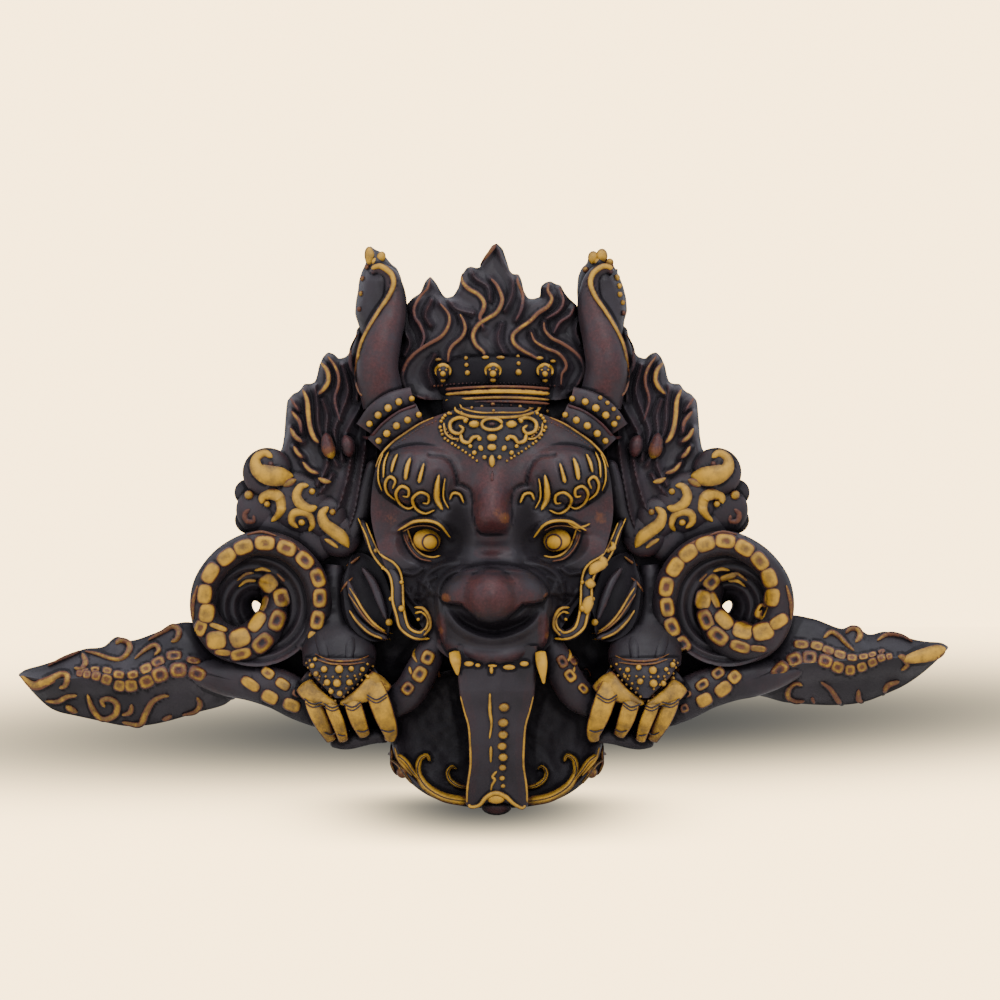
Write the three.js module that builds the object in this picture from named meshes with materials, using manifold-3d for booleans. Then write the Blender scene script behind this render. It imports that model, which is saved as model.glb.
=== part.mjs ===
// A chhepu mask: a cast wall relief of a horned guardian head that holds a serpent in each hand.
// Millimetres. X runs to the right and Z up; the flat back lies at Y = 0 and the front faces -Y.
// "Relief" is the height of the front above the back. Paths are lists of [x, z, relief of the crest].
import * as THREE from 'three';
import { mergeVertices } from 'three/addons/utils/BufferGeometryUtils.js';
import Module from 'manifold-3d';

const wasm = await Module();
wasm.setup();

// Driving sizes
const BEHIND = 3; // every piece starts this far behind the back, and is then trimmed to it
const HEAD_FOOT = 20; // relief where the head's side meets the body
const LOWER_SHIFT = 2; // the mouth, tongue and jaw sit this far right of the middle line
const SIDES = { left: -1, right: 1 };

// Head: stations of [z, half-width] and [z, relief on the middle line]
const HEAD_WIDTH = [[9, 12], [4.4, 25], [-2.8, 37], [-9.2, 44.5], [-30, 48.5], [-44, 46.5], [-60, 40],
  [-78, 30], [-94, 20]];
const HEAD_RELIEF = [[9, 44], [0, 52], [-12, 58], [-24, 61], [-38, 60], [-50, 57], [-62, 62], [-78, 66],
  [-94, 58]];
const HEAD_ARCH = 2.4; // power of the arch across the head
const HEAD_ROWS = 9;
const HEAD_COLUMNS = 8;

// Hollow in the back of the head
const HOLLOW = {
  z: -40,
  halfWidth: 35,
  halfHeight: 34,
  depth: 40,
  power: 2.8, // of its bluntness, both across and towards the front
  shares: [-0.15, 0.4, 0.7, 0.9, 0.99], // of its depth, where its rings lie
  points: 14,
};

// Cross-sections of a ridge, from foot to foot, as [share of half-width, share of rise]
const BOLD = [[-1, 0], [-0.55, 0.62], [0, 1], [0.55, 0.62], [1, 0]];
const SHARP = [[-1, 0], [0, 1], [1, 0]];
const SLAB = [[-1, 0], [-0.92, 1], [0.92, 1], [1, 0]];

// Value at s of a smooth curve through stations of [position, value], by cubic pieces with central slopes.
function smooth(stations, s) {
  const list = stations[0][0] > stations.at(-1)[0] ? [...stations].reverse() : stations;
  const last = list.length - 1;
  if (s <= list[0][0]) return list[0][1];
  if (s >= list[last][0]) return list[last][1];
  let k = 0;
  while (s > list[k + 1][0]) k += 1;
  const slope = (i) => {
    const a = list[Math.max(i - 1, 0)];
    const b = list[Math.min(i + 1, last)];
    return (b[1] - a[1]) / (b[0] - a[0]);
  };
  const span = list[k + 1][0] - list[k][0];
  const t = (s - list[k][0]) / span;
  const [v0, v1, m0, m1] = [list[k][1], list[k + 1][1], slope(k) * span, slope(k + 1) * span];
  return (2 * t ** 3 - 3 * t ** 2 + 1) * v0 + (t ** 3 - 2 * t ** 2 + t) * m0
    + (3 * t ** 2 - 2 * t ** 3) * v1 + (t ** 3 - t ** 2) * m1;
}

// A list of values spread evenly over 0 to 1, read at t.
function along(values, t) {
  if (typeof values === 'number') return values;
  return smooth(values.map((v, i) => [i / (values.length - 1), v]), t);
}

// A closed body as a solid, turned right side out.
function solid(geometry) {
  for (const name of ['normal', 'uv']) geometry.deleteAttribute(name);
  const merged = mergeVertices(geometry, 1e-4);
  const build = (triVerts) => new wasm.Manifold(new wasm.Mesh({
    numProp: 3, vertProperties: merged.attributes.position.array, triVerts,
  }));
  const faces = new Uint32Array(merged.index.array);
  const made = build(faces);
  return made.volume() > 0 ? made : build(faces.reverse());
}

// A solid through rings of points of equal number, each end closed by a fan from its middle.
function loft(rings) {
  const count = rings[0].length;
  const middle = (ring) => [0, 1, 2].map((k) => ring.reduce((sum, p) => sum + p[k], 0) / count);
  const points = [...rings.flat(), middle(rings[0]), middle(rings.at(-1))];
  const index = [];
  const [first, final] = [points.length - 2, points.length - 1];
  const lastRing = (rings.length - 1) * count;
  for (let i = 0; i < count; i += 1) {
    const next = (i + 1) % count;
    for (let row = 0; row < lastRing; row += count) {
      const above = row + count;
      index.push(row + i, row + next, above + next, row + i, above + next, above + i);
    }
    index.push(first, next, i, final, lastRing + i, lastRing + next);
  }
  const geometry = new THREE.BufferGeometry();
  geometry.setAttribute('position', new THREE.Float32BufferAttribute(points.flat(), 3));
  geometry.setIndex(index);
  return solid(geometry);
}

// A smooth curve through [x, z, relief] points, on the left or right side.
function curve(path, side = 1) {
  return new THREE.CatmullRomCurve3(
    path.map(([x, z, relief]) => new THREE.Vector3(side * x, -relief, z)), false, 'catmullrom', 0.5);
}

// Between two scales a ridge is drawn in to a share of its width, and its crest drops
const PINCH = { width: 0.86, drop: 1.2 };

// A raised ridge along a path. Its foot lies "rise" below the crest, and below that its sides go straight
// back, to behind the mask, or by "deep" where it lies on another form. With "beads" it has that many
// swells, and every other station is drawn in.
function ridge(path, half, options = {}) {
  const { side = 1, rise = 8, deep = null, section = BOLD, beads = 0 } = options;
  const { steps = 3 * (path.length - 1) } = options;
  const line = curve(path, side);
  const count = beads ? 2 * beads : steps;
  const rings = [];
  for (let k = 0; k <= count; k += 1) {
    const t = k / count;
    const at = line.getPoint(t);
    const tangent = line.getTangent(t);
    const across = new THREE.Vector2(tangent.z, -tangent.x).normalize();
    const pinched = beads && k % 2 === 0;
    const width = along(half, t) * (pinched ? PINCH.width : 1);
    const crest = -at.y - (pinched ? PINCH.drop : 0);
    const foot = crest - along(rise, t);
    const back = deep === null ? -BEHIND : foot - deep;
    const point = (share, relief) => {
      const reach = share * width;
      return [at.x + across.x * reach, -relief, at.z + across.y * reach];
    };
    rings.push([
      point(section[0][0], back),
      ...section.map(([share, height]) => point(share, foot + (crest - foot) * height)),
      point(section.at(-1)[0], back),
    ]);
  }
  return loft(rings);
}

// A ball or egg. Its middle is at [x, z, relief], and its radii run along x, z and the relief.
function egg([x, z, relief], [rx, rz, ry], { side = 1, around = 8, up = 6 } = {}) {
  const geometry = new THREE.SphereGeometry(1, around, up);
  geometry.rotateX(Math.PI / 2);
  geometry.scale(rx, ry, rz);
  geometry.translate(side * x, -relief, z);
  return solid(geometry);
}

// Relief of the bare head at a point: an arch across, and the middle line's profile down.
function headRelief(x, z) {
  const share = Math.min(1, Math.abs(x) / smooth(HEAD_WIDTH, z));
  return HEAD_FOOT + (smooth(HEAD_RELIEF, z) - HEAD_FOOT) * Math.sqrt(1 - share ** HEAD_ARCH);
}

function head() {
  const rings = [];
  const [top, bottom] = [HEAD_WIDTH[0][0], HEAD_WIDTH.at(-1)[0]];
  for (let row = 0; row <= HEAD_ROWS; row += 1) {
    const z = top + (bottom - top) * (row / HEAD_ROWS);
    const half = smooth(HEAD_WIDTH, z);
    const ring = [[half, BEHIND, z], [-half, BEHIND, z]];
    for (let column = 0; column <= HEAD_COLUMNS; column += 1) {
      const x = -half * Math.cos((Math.PI * column) / HEAD_COLUMNS);
      ring.push([x, -headRelief(x, z), z]);
    }
    rings.push(ring);
  }
  return loft(rings);
}

// A superellipse's reach along one axis, from the sine or cosine of the angle
function blunt(value, power) {
  return Math.sign(value) * Math.abs(value) ** (2 / power);
}

// Brows, eye sockets, nose and upper lip. The eyeballs are joined in after the sockets are cut.
// Eggs have their middle at [x, z, relief] and radii along x, z and the relief.
const EYEBALL = { at: [26, -44, 47], radii: [6.4, 5.4, 7.4] };
const SOCKET = { at: [26, -44, 60], radii: [10.5, 7.5, 13] };
const BROW = { at: [27, -19, 43], radii: [19, 12, 22] };
const NOSE_BRIDGE = { at: [-0.8, -38, 58], radii: [8.6, 11, 14] };
const NOSE_BULB = { at: [LOWER_SHIFT - 1, -66, 66], radii: [10.5, 11, 20] };
const MUZZLE = { at: [LOWER_SHIFT, -74, 54], radii: [21, 19, 21] };
const NOSE_WING = [[3, -60, 76], [12, -61, 76], [18, -66, 71], [17, -72, 66]];
const LIP = [[-19, -74, 62], [-10.5, -88, 68], [2, -92, 70], [14.5, -88, 68], [23, -74, 62]];
const EYELID = [[38, -37.5, 50], [31, -37, 54], [24, -36.5, 56.5], [17, -42, 56]];
const BROW_HAIRS = [[41, -12, 40, -20], [36.4, -10.4, 35, -20], [30, -10, 30, -20], [24, -11, 25.5, -20],
  [18, -14, 20, -24]]; // [x, z] of the root and [x, z] of the end
const HAIR_LIFT = { root: 0.6, end: 1.4 }; // above the brow

// Relief of a brow's surface
function browRelief(x, z) {
  const [across, up] = [(x - BROW.at[0]) / BROW.radii[0], (z - BROW.at[1]) / BROW.radii[1]];
  return BROW.at[2] + BROW.radii[2] * Math.sqrt(Math.max(0, 1 - across ** 2 - up ** 2));
}

function features() {
  const added = [
    egg(NOSE_BRIDGE.at, NOSE_BRIDGE.radii, { around: 8, up: 5 }),
    egg(NOSE_BULB.at, NOSE_BULB.radii, { around: 8, up: 6 }),
    egg(MUZZLE.at, MUZZLE.radii, { around: 10, up: 5 }),
    ridge(LIP, [2.4, 3.4, 3.6, 3.4, 2.4], { rise: 5, steps: 6, section: SHARP }),
  ];
  const sockets = [];
  for (const side of Object.values(SIDES)) {
    added.push(
      egg(BROW.at, BROW.radii, { side, around: 8, up: 6 }),
      ridge(NOSE_WING.map(([x, z, relief]) => [x + LOWER_SHIFT * side, z, relief]), [4, 4.4, 3.8, 2.6],
        { side, rise: 7, deep: 8, steps: 3 }),
      ridge(EYELID, [0.6, 1.7, 1.8, 0.6], { side, rise: 3, deep: 6, steps: 4, section: SHARP }),
    );
    for (const [x0, z0, x1, z1] of BROW_HAIRS) {
      const root = [x0, z0, browRelief(x0, z0) + HAIR_LIFT.root];
      const path = [root, [x1, z1, browRelief(x1, z1) + HAIR_LIFT.end]];
      added.push(ridge(path, [1, 1.6], { side, rise: 2, deep: 5, section: SHARP, steps: 1 }));
    }
    sockets.push(egg(SOCKET.at, SOCKET.radii, { side, around: 8, up: 5 }));
  }
  return { added, sockets };
}

function eyes() {
  return Object.values(SIDES).map((side) => egg(EYEBALL.at, EYEBALL.radii, { side, around: 7, up: 5 }));
}

// Teeth under the upper lip. The right fang is the longer one.
const FANGS = [{ side: SIDES.left, x: 14.6, length: 9 }, { side: SIDES.right, x: 19.4, length: 12 }];
const FANG_ROOT = -89; // z from which a fang's length is measured
const SMALL_TEETH = [[-8.8, -92], [-1, -93], [7, -94], [13, -92.4]];
const SMALL_TOOTH = { relief: 66, radii: [2.6, 2, 6] };

function teeth() {
  const fangs = FANGS.map(({ side, x, length }) => {
    const path = [[x, -87, 68], [x - 0.5, -92, 70], [x - 1, FANG_ROOT - length, 68]];
    return ridge(path, [2.4, 2.3, 0.6], { side, rise: 3, deep: 6, steps: 2, section: SHARP });
  });
  const small = SMALL_TEETH.map(
    ([x, z]) => egg([x, z, SMALL_TOOTH.relief], SMALL_TOOTH.radii, { around: 5, up: 3 }));
  return [...fangs, ...small];
}

// Crown: a band with a bar and three skulls, and a jewelled drop on the forehead
const CROWN_BAND = [[-23.5, 19, 40], [-12, 20, 46], [0, 20, 48], [12, 20, 46], [24, 19, 40]];
const CROWN_BAR = [[-21, 14.6, 46], [0, 15.2, 52.5], [23.5, 14.8, 46]];
const CROWN_DROP = [[0, 6, 55], [0, -1, 60], [0, -8, 63], [0, -16.5, 63]];
const SKULLS = { x: [-19.6, 0.4, 21.2], z: 23, relief: 48.5, bow: 0.012, radii: [3.6, 4.6, 4.4] };
const JEWEL = { at: [0, 2, 59.6], radii: [1.2 * 2.8, 2.8, 3] };

function crown() {
  const skulls = SKULLS.x.map(
    (x) => egg([x, SKULLS.z, SKULLS.relief - SKULLS.bow * x * x], SKULLS.radii, { around: 6, up: 4 }));
  return [
    ridge(CROWN_BAND, 10, { rise: 4, section: SLAB, steps: 6 }),
    ridge(CROWN_BAR, 1.9, { rise: 3, deep: 4, steps: 4, section: SHARP }),
    ridge(CROWN_DROP, [19, 20, 10, 1.4], { rise: 8, deep: 6, steps: 5 }),
    ...skulls,
    egg(JEWEL.at, JEWEL.radii, { around: 6, up: 4 }),
  ];
}

// Flames of hair above the crown, from root to tip: [path, half-widths]
const HAIR_FLAMES = [
  [[[-32, 20, 28], [-34.5, 40, 28], [-30, 55, 20]], [9, 8, 1]],
  [[[-26, 22, 30], [-30, 40, 31], [-21.5, 50, 28], [-25, 62.4, 20]], [9, 9, 7, 0.8]],
  [[[-17, 28, 33], [-18.6, 36, 33], [-14, 44, 30], [-18, 53.4, 22]], [6.5, 6, 5, 1]],
  [[[-9, 30, 32], [-5.6, 42, 33], [-3.2, 51, 31], [-9.4, 58, 27], [-10, 66, 20]], [8, 8, 7, 6, 1]],
  [[[0, 28, 34], [-6.4, 37, 35], [1.2, 46, 34], [4.4, 53, 31], [0, 62, 27], [1.6, 75.4, 19]],
    [8, 8, 8, 7.5, 6, 0.9]],
  [[[8, 34, 33], [12, 48, 31], [12, 56, 27], [9.6, 63.2, 20]], [8, 7, 5, 1.4]],
  [[[21, 28, 33], [9, 37, 34], [17.5, 45, 32], [23.6, 53, 28], [22.6, 60.4, 20]], [8, 8, 7, 6, 1]],
  [[[34, 26, 31], [23, 38, 32], [26, 47, 28], [30, 53.6, 20]], [8, 8, 6, 1.4]],
  [[[37, 20, 28], [35, 38, 27], [33, 50, 19]], [9, 8, 1]],
];

// Flames at the side of the head, [distance out, z, relief]
const SIDE_FLAMES = [
  [[[62, 2, 24], [58.8, 20, 25], [55, 41, 16]], [8, 7.5, 1]],
  [[[64, -2, 25], [60, 18, 26], [63.5, 28, 22], [66.2, 32.6, 15]], [8, 7, 5, 0.8]],
  [[[67, -4, 26], [64.6, 14, 26], [67.5, 22, 22], [70.4, 29, 15]], [7, 6, 4.5, 0.8]],
  [[[69.6, -8, 27], [71.6, 6, 26], [73.8, 13, 21], [77, 19, 14]], [7.5, 7, 5, 0.9]],
  [[[72.8, -12, 27], [78.4, 0, 25], [80, 9, 20], [81.5, 15, 14]], [8, 7, 5.5, 1]],
  [[[68.8, -18, 28], [77.6, -13, 26], [82.5, -5, 21], [84, 5, 13]], [7, 6, 5, 0.9]],
];

function flames() {
  const parts = HAIR_FLAMES.map(
    ([path, half]) => ridge(path, half, { rise: 10, steps: Math.max(3, path.length - 1), section: SHARP }));
  for (const side of Object.values(SIDES)) {
    for (const [path, half] of SIDE_FLAMES) {
      parts.push(ridge(path, half, { side, rise: 9, steps: 3, section: SHARP }));
    }
  }
  return parts;
}

// Horn with its leaf-shaped tip, and two beaded bands at its base
const HORN = [[43, 10, 42], [45.8, 24, 44], [44, 36, 42], [40.8, 46, 37], [39.4, 54, 33], [41, 61.6, 31],
  [45.4, 64.4, 30], [48.4, 63, 29]];
const HORN_HALF = [8.4, 8.4, 7.8, 6.4, 4.8, 3.4, 2.4, 1];
const HORN_RISE = [8, 8, 8, 7, 6, 5, 4, 3];
const HORN_LEAF = [[45.6, 38, 24], [45.6, 50, 27], [45, 60, 27], [46.6, 69, 24], [48.6, 74.6, 18]];
const HORN_BANDS = [
  [[50.6, 0, 42], [46, 6.4, 47], [39.6, 10.8, 49], [31.6, 13, 45]],
  [[46.6, -6.4, 44], [41.4, -1, 49], [35, 3.6, 51], [28.6, 6.6, 48]],
];

function horn(side) {
  const parts = [
    ridge(HORN, HORN_HALF, { side, rise: HORN_RISE, steps: 8 }),
    ridge(HORN_LEAF, [6, 9.6, 10, 6.4, 1], { side, rise: 7, section: SHARP, steps: 5 }),
  ];
  for (const path of HORN_BANDS) {
    parts.push(ridge(path, 3.2, { side, rise: 3.4, beads: 4, section: SHARP }));
  }
  return parts;
}

// Ear: its lobe, a long ornament that ends in a curl, and the hair above
const EAR_LOBE = [[50, -52, 38], [50, -68, 42], [47, -82, 40]];
const EAR_HAIR = [[52, 4, 32], [53, -12, 34], [56, -26, 34], [56, -40, 32]];
const EAR_ORNAMENT = [[53, -35, 36], [49.6, -44, 42], [44.6, -50, 46], [39, -56, 49], [37, -64, 50],
  [36.6, -73, 50], [33, -80, 51], [28, -82, 52], [24.6, -78.4, 52], [27, -74.4, 51]];
const ORNAMENT_HALF = [1, 2, 2.6, 2.4, 2.4, 2.6, 2.4, 2.2, 2, 1.4];

function ear(side) {
  return [
    ridge(EAR_LOBE, [10, 12, 7], { side, rise: 14, steps: 4 }),
    ridge(EAR_ORNAMENT, ORNAMENT_HALF, { side, rise: 3, steps: 10, section: SHARP }),
    ridge(EAR_HAIR, [8, 9, 9, 7], { side, rise: 8, steps: 3 }),
  ];
}

// Scrolls behind the coil: domes of [distance out, z, radius, relief], and comma-shaped curls
const SCROLL_DOMES = [[90, -17, 9.6, 32], [92.5, -32, 9.4, 28], [76, -29, 12, 32], [63, -42, 14, 34]];
const DOME = { rise: 12, shares: [0, 0.6, 0.95], points: 8 }; // shares of the rise, where its rings lie
const SCROLL_CURLS = [
  [[[80, -21, 33], [88, -16.4, 37], [95, -17, 36], [95.6, -11.6, 34], [91, -10, 33]],
    [2.6, 3.8, 3.4, 2.4, 1.4]],
  [[[72, -38, 34], [74, -33, 37], [79.6, -32, 37], [80, -26, 35]], [1.4, 2.8, 2.8, 1.4]],
  [[[56, -49, 36], [61, -41, 39], [67, -35.6, 40], [65, -30.6, 38]], [1.4, 3.4, 3, 1.4]],
];

// A round dome on the back. Its foot ring goes straight back, behind the mask.
function dome([x, z, radius, relief], side) {
  const rings = DOME.shares.map((share) => {
    const reach = radius * Math.sqrt(1 - share ** 2);
    const depth = share === 0 ? BEHIND : DOME.rise * (1 - share) - relief;
    const ring = [];
    for (let k = 0; k < DOME.points; k += 1) {
      const angle = (2 * Math.PI * k) / DOME.points;
      ring.push([side * (x + reach * Math.cos(angle)), depth, z + reach * Math.sin(angle)]);
    }
    return ring;
  });
  return loft(rings);
}

function scrolls(side) {
  const curls = SCROLL_CURLS.map(
    ([path, half]) => ridge(path, half, { side, rise: 2.6, deep: 6, steps: path.length, section: SHARP }));
  return [...SCROLL_DOMES.map((place) => dome(place, side)), ...curls];
}

// Serpent's coil. At each quarter turn inwards: radius of the band's outer edge, half-width and crest relief.
const COIL = {
  x: 94.4,
  z: -70,
  start: 225, // degrees, where the band comes out from behind the hand
  turns: 1.5,
  outer: [30.6, 29.6, 28.8, 26.6, 22.4, 14.6, 12.2, 8.6],
  half: [6.5, 6.5, 6.5, 6, 5.4, 4.6, 4, 2.6],
  crest: [36, 39, 41, 41, 39, 37, 33, 25],
  scales: 14,
  steps: 16, // of the turning path
};
const COIL_EYE = { radius: 2.6, tall: 1.4, drop: 1.4, length: 120 }; // the hole through the middle

function coil(side) {
  const path = [];
  for (let k = 0; k <= COIL.steps; k += 1) {
    const t = k / COIL.steps;
    const angle = THREE.MathUtils.degToRad(COIL.start - 360 * COIL.turns * t);
    const radius = along(COIL.outer, t) - along(COIL.half, t);
    path.push([COIL.x + radius * Math.cos(angle), COIL.z + radius * Math.sin(angle), along(COIL.crest, t)]);
  }
  return ridge(path, COIL.half, { side, rise: 8, beads: COIL.scales, section: BOLD });
}

function coilEye(side) {
  const hole = new THREE.CylinderGeometry(COIL_EYE.radius, COIL_EYE.radius, COIL_EYE.length, 10);
  hole.scale(1, 1, COIL_EYE.tall);
  hole.translate(side * COIL.x, 0, COIL.z - COIL_EYE.drop);
  return solid(hole);
}

// Tail: a leaf around the middle rib. Stations run from the coil to the tip.
const TAIL = {
  rib: [[104, -100, 32], [119, -94.6, 29], [139, -92.6, 26], [155, -91.6, 22], [171, -91, 17],
    [183.6, -87.4, 11]],
  above: [[0, 14], [0.18, 20], [0.3, 17.6], [0.42, 12.6], [0.48, 13.6], [0.56, 9.6], [0.65, 10.4],
    [0.8, 6.6], [0.88, 4.6], [0.96, 2.6], [1, 0.6]], // [share of the length, height of the edge]
  below: [[0, 5], [0.14, 12], [0.3, 17], [0.45, 17.6], [0.6, 15.4], [0.75, 11], [0.88, 6],
    [0.96, 2.6], [1, 0.6]],
  edge: 9, // relief at the rim, near the coil
  thinning: 0.5, // share of it that is gone at the tip
  flank: { rim: 0.45, crest: 0.5 }, // shares that give the relief halfway to the edge
  stations: 12,
};
const TAIL_SET = { left: { turn: -7.4, stretch: 1.075 }, right: { turn: 0, stretch: 1 } };

function tail(name) {
  const side = SIDES[name];
  const { turn, stretch } = TAIL_SET[name];
  const [pivotX, pivotZ] = TAIL.rib[0];
  const angle = THREE.MathUtils.degToRad(turn);
  const line = curve(TAIL.rib);
  const rings = [];
  for (let k = 0; k <= TAIL.stations; k += 1) {
    const t = k / TAIL.stations;
    const at = line.getPoint(t);
    const crest = -at.y;
    const rim = TAIL.edge * (1 - TAIL.thinning * t);
    const flank = TAIL.flank.rim * rim + TAIL.flank.crest * crest;
    const [up, down] = [smooth(TAIL.above, t), smooth(TAIL.below, t)];
    const section = [[-down, -BEHIND], [-down, rim], [-0.5 * down, flank], [0, crest],
      [0.5 * up, flank], [up, rim], [up, -BEHIND]];
    rings.push(section.map(([offset, relief]) => {
      const [dx, dz] = [(at.x - pivotX) * stretch, at.z + offset - pivotZ];
      return [
        side * (pivotX + dx * Math.cos(angle) - dz * Math.sin(angle)),
        -relief,
        pivotZ + dx * Math.sin(angle) + dz * Math.cos(angle),
      ];
    }));
  }
  return loft(rings);
}

// Serpent's body: from the mouth into the hand, and out of the hand to the tail, beside the forearm
const SERPENT_NECK = [[22.6, -84, 50], [27, -94, 48], [33, -104.6, 46], [41, -110, 44]];
const SERPENT_BELLY = [[58, -112.6, 40], [70, -110.4, 40], [84, -105.6, 38], [97, -100.6, 35],
  [110, -97, 31]];
const FOREARM = [[66, -84, 38], [72, -92, 40], [72, -102, 40]];

function body(side) {
  return [
    ridge(SERPENT_NECK, [6.4, 7.4, 7.4, 6.6], { side, rise: 6, steps: 3 }),
    ridge(SERPENT_BELLY, [7, 8, 8.2, 8, 6.4], { side, rise: 7, steps: 5 }),
    ridge(FOREARM, [9, 9, 8], { side, rise: 9, steps: 2 }),
  ];
}

// Hand: a wrist in a jewelled cuff, a palm, and four fingers closed on the serpent
const WRIST = [[61, -80, 40], [61, -90, 46]];
const PALM = [[61, -89, 49], [61, -98, 53], [61, -107, 54]];
const KNUCKLES = [[75, -98, 42], [67, -104, 50], [57, -105, 52], [45, -98, 46]];
const FINGERS = [
  [[[73.4, -102, 47], [72.4, -110, 50], [69, -118, 47], [63.6, -124.6, 38]], [3, 3.3, 3, 1.6]],
  [[[65, -106, 52], [63, -114, 53], [58, -123, 44]], [3.2, 3.6, 2.2]],
  [[[57.6, -107, 53], [53.4, -115, 54], [47.6, -123, 46]], [3.2, 3.8, 2.4]],
  [[[49, -102, 50], [43.6, -111, 53], [40.6, -117.6, 51], [41.8, -124, 44]], [3.2, 4, 3.6, 1.8]],
];

function hand(side) {
  const fingers = FINGERS.map(([path, half]) => ridge(path, half, { side, rise: 5, steps: 3 }));
  return [
    ridge(WRIST, [12, 15], { side, rise: 10, steps: 2 }),
    ridge(PALM, [14, 11, 2.4], { side, rise: 8, steps: 3 }),
    ridge(KNUCKLES, [4.6, 5.6, 5.6, 4.6], { side, rise: 8, steps: 4 }),
    ...fingers,
  ];
}

// Lower jaw: a bowl open to the front, with curls along its rim
const JAW = { z: -118, halfWidth: 42.6, down: 33.4, up: 24, power: 2.5, points: 16 };
const JAW_RINGS = [[1, -BEHIND], [1, 28], [0.96, 34], [0.88, 29], [0.68, 20], [0.3, 18]];
const JAW_CURLS = [
  [[[14, -147.4, 44], [24, -145, 42], [32, -139.6, 40], [37.2, -132, 39], [34.6, -127.6, 38]],
    [2, 2.6, 2.4, 2.2, 1.2]],
  [[[36, -142, 34], [41.4, -136, 38], [43, -129.6, 38], [39.6, -127.4, 36]], [2, 3, 2.8, 1.4]],
];
const JAW_CORNER = { at: [39, -138, 28], radii: [4, 3.6, 8] };

function jaw() {
  const rings = JAW_RINGS.map(([share, relief]) => {
    const ring = [];
    for (let k = 0; k < JAW.points; k += 1) {
      const angle = (2 * Math.PI * k) / JAW.points;
      const [c, s] = [Math.cos(angle), Math.sin(angle)];
      const x = LOWER_SHIFT + share * JAW.halfWidth * blunt(c, JAW.power);
      const z = JAW.z + share * (s > 0 ? JAW.up : JAW.down) * blunt(s, JAW.power);
      ring.push([x, -relief, z]);
    }
    return ring;
  });
  const parts = [loft(rings)];
  for (const side of Object.values(SIDES)) {
    const shifted = ([x, z, relief]) => [x + LOWER_SHIFT * side, z, relief];
    for (const [path, half] of JAW_CURLS) {
      parts.push(ridge(path.map(shifted), half, { side, rise: 3, steps: 4, section: SHARP }));
    }
    parts.push(egg(shifted(JAW_CORNER.at), JAW_CORNER.radii, { side, around: 6, up: 4 }));
  }
  return parts;
}

// Tongue: a waisted slab with a row of beads and a folded end
const TONGUE = [[2, -88, 64], [2, -104, 62], [2, -122, 57], [2, -138, 52], [2, -150, 49]];
const TONGUE_FOLD = [[-9.4, -149.6, 48.6], [-3, -148, 50], [2, -144.6, 52], [7, -148, 50],
  [13.4, -149.6, 48.6]];
const TONGUE_KNOB = { at: [2, -150, 40], radii: [5.6, 4.6, 9] };

function tongue() {
  return [
    ridge(TONGUE, [14, 14, 11, 11.4, 12.8], { rise: 4, section: SLAB, steps: 5 }),
    ridge(TONGUE_FOLD, [1, 1.8, 2.6, 1.8, 1], { rise: 3, steps: 6, section: SHARP }),
    egg(TONGUE_KNOB.at, TONGUE_KNOB.radii, { around: 7, up: 4 }),
  ];
}

// Ground behind everything, one half of it: from the hair down the outer edge to the jaw
const GROUND = [[0, 48], [20, 50], [36, 44], [50, 36], [60, 24], [72, 10], [80, -6], [88, -14], [98, -22],
  [98, -36], [112, -52], [119, -70], [113, -86], [104, -102], [84, -110], [62, -120], [44, -122], [30, -132],
  [0, -138]];
const GROUND_RELIEF = 14;
const GROUND_LAP = 4; // how far each half goes past the middle line

function ground(side) {
  const outline = side > 0 ? GROUND : [...GROUND].reverse();
  const closed = [...outline, [-GROUND_LAP, outline.at(-1)[1]], [-GROUND_LAP, outline[0][1]]];
  const shape = new THREE.Shape(closed.map(([x, z]) => new THREE.Vector2(side * x, z)));
  const geometry = new THREE.ExtrudeGeometry(shape, { depth: GROUND_RELIEF + BEHIND, bevelEnabled: false });
  geometry.rotateX(Math.PI / 2);
  geometry.translate(0, BEHIND, 0);
  return solid(geometry);
}

// Hollow behind the head: a blunt dome that narrows towards the front
function hollow() {
  const rings = HOLLOW.shares.map((share) => {
    const size = (1 - Math.max(share, 0) ** HOLLOW.power) ** (1 / HOLLOW.power);
    const ring = [];
    for (let k = 0; k < HOLLOW.points; k += 1) {
      const angle = (2 * Math.PI * k) / HOLLOW.points;
      const x = HOLLOW.halfWidth * size * blunt(Math.cos(angle), HOLLOW.power);
      const z = HOLLOW.z + HOLLOW.halfHeight * size * blunt(Math.sin(angle), HOLLOW.power);
      ring.push([x, -share * HOLLOW.depth, z]);
    }
    return ring;
  });
  return loft(rings);
}

function join(parts) {
  return parts.reduce((sum, part) => sum.add(part));
}

// Everything behind the flat back, which the joined casting is trimmed to
const TRIM = { span: 500, depth: 40 };

function mask() {
  const { added, sockets } = features();
  let made = join([head(), ...added]);
  for (const socket of sockets) made = made.subtract(socket);
  const rest = [...eyes(), ...teeth(), ...crown(), ...flames(), ...jaw(), ...tongue()];
  for (const [name, side] of Object.entries(SIDES)) {
    rest.push(ground(side), ...horn(side), ...ear(side), ...scrolls(side), coil(side), tail(name));
    rest.push(...body(side), ...hand(side));
  }
  made = join([made, ...rest]);
  const behind = new THREE.BoxGeometry(TRIM.span, TRIM.depth, TRIM.span);
  behind.translate(0, TRIM.depth / 2, 0);
  made = made.subtract(solid(behind)).subtract(hollow());
  for (const side of Object.values(SIDES)) made = made.subtract(coilEye(side));
  return made;
}

function meshOf(name, made, material) {
  const { vertProperties, triVerts } = made.getMesh();
  const geometry = new THREE.BufferGeometry();
  geometry.setAttribute('position', new THREE.Float32BufferAttribute(vertProperties, 3));
  geometry.setIndex([...triVerts]);
  geometry.computeVertexNormals();
  const mesh = new THREE.Mesh(geometry, material);
  mesh.name = name;
  return mesh;
}

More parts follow.
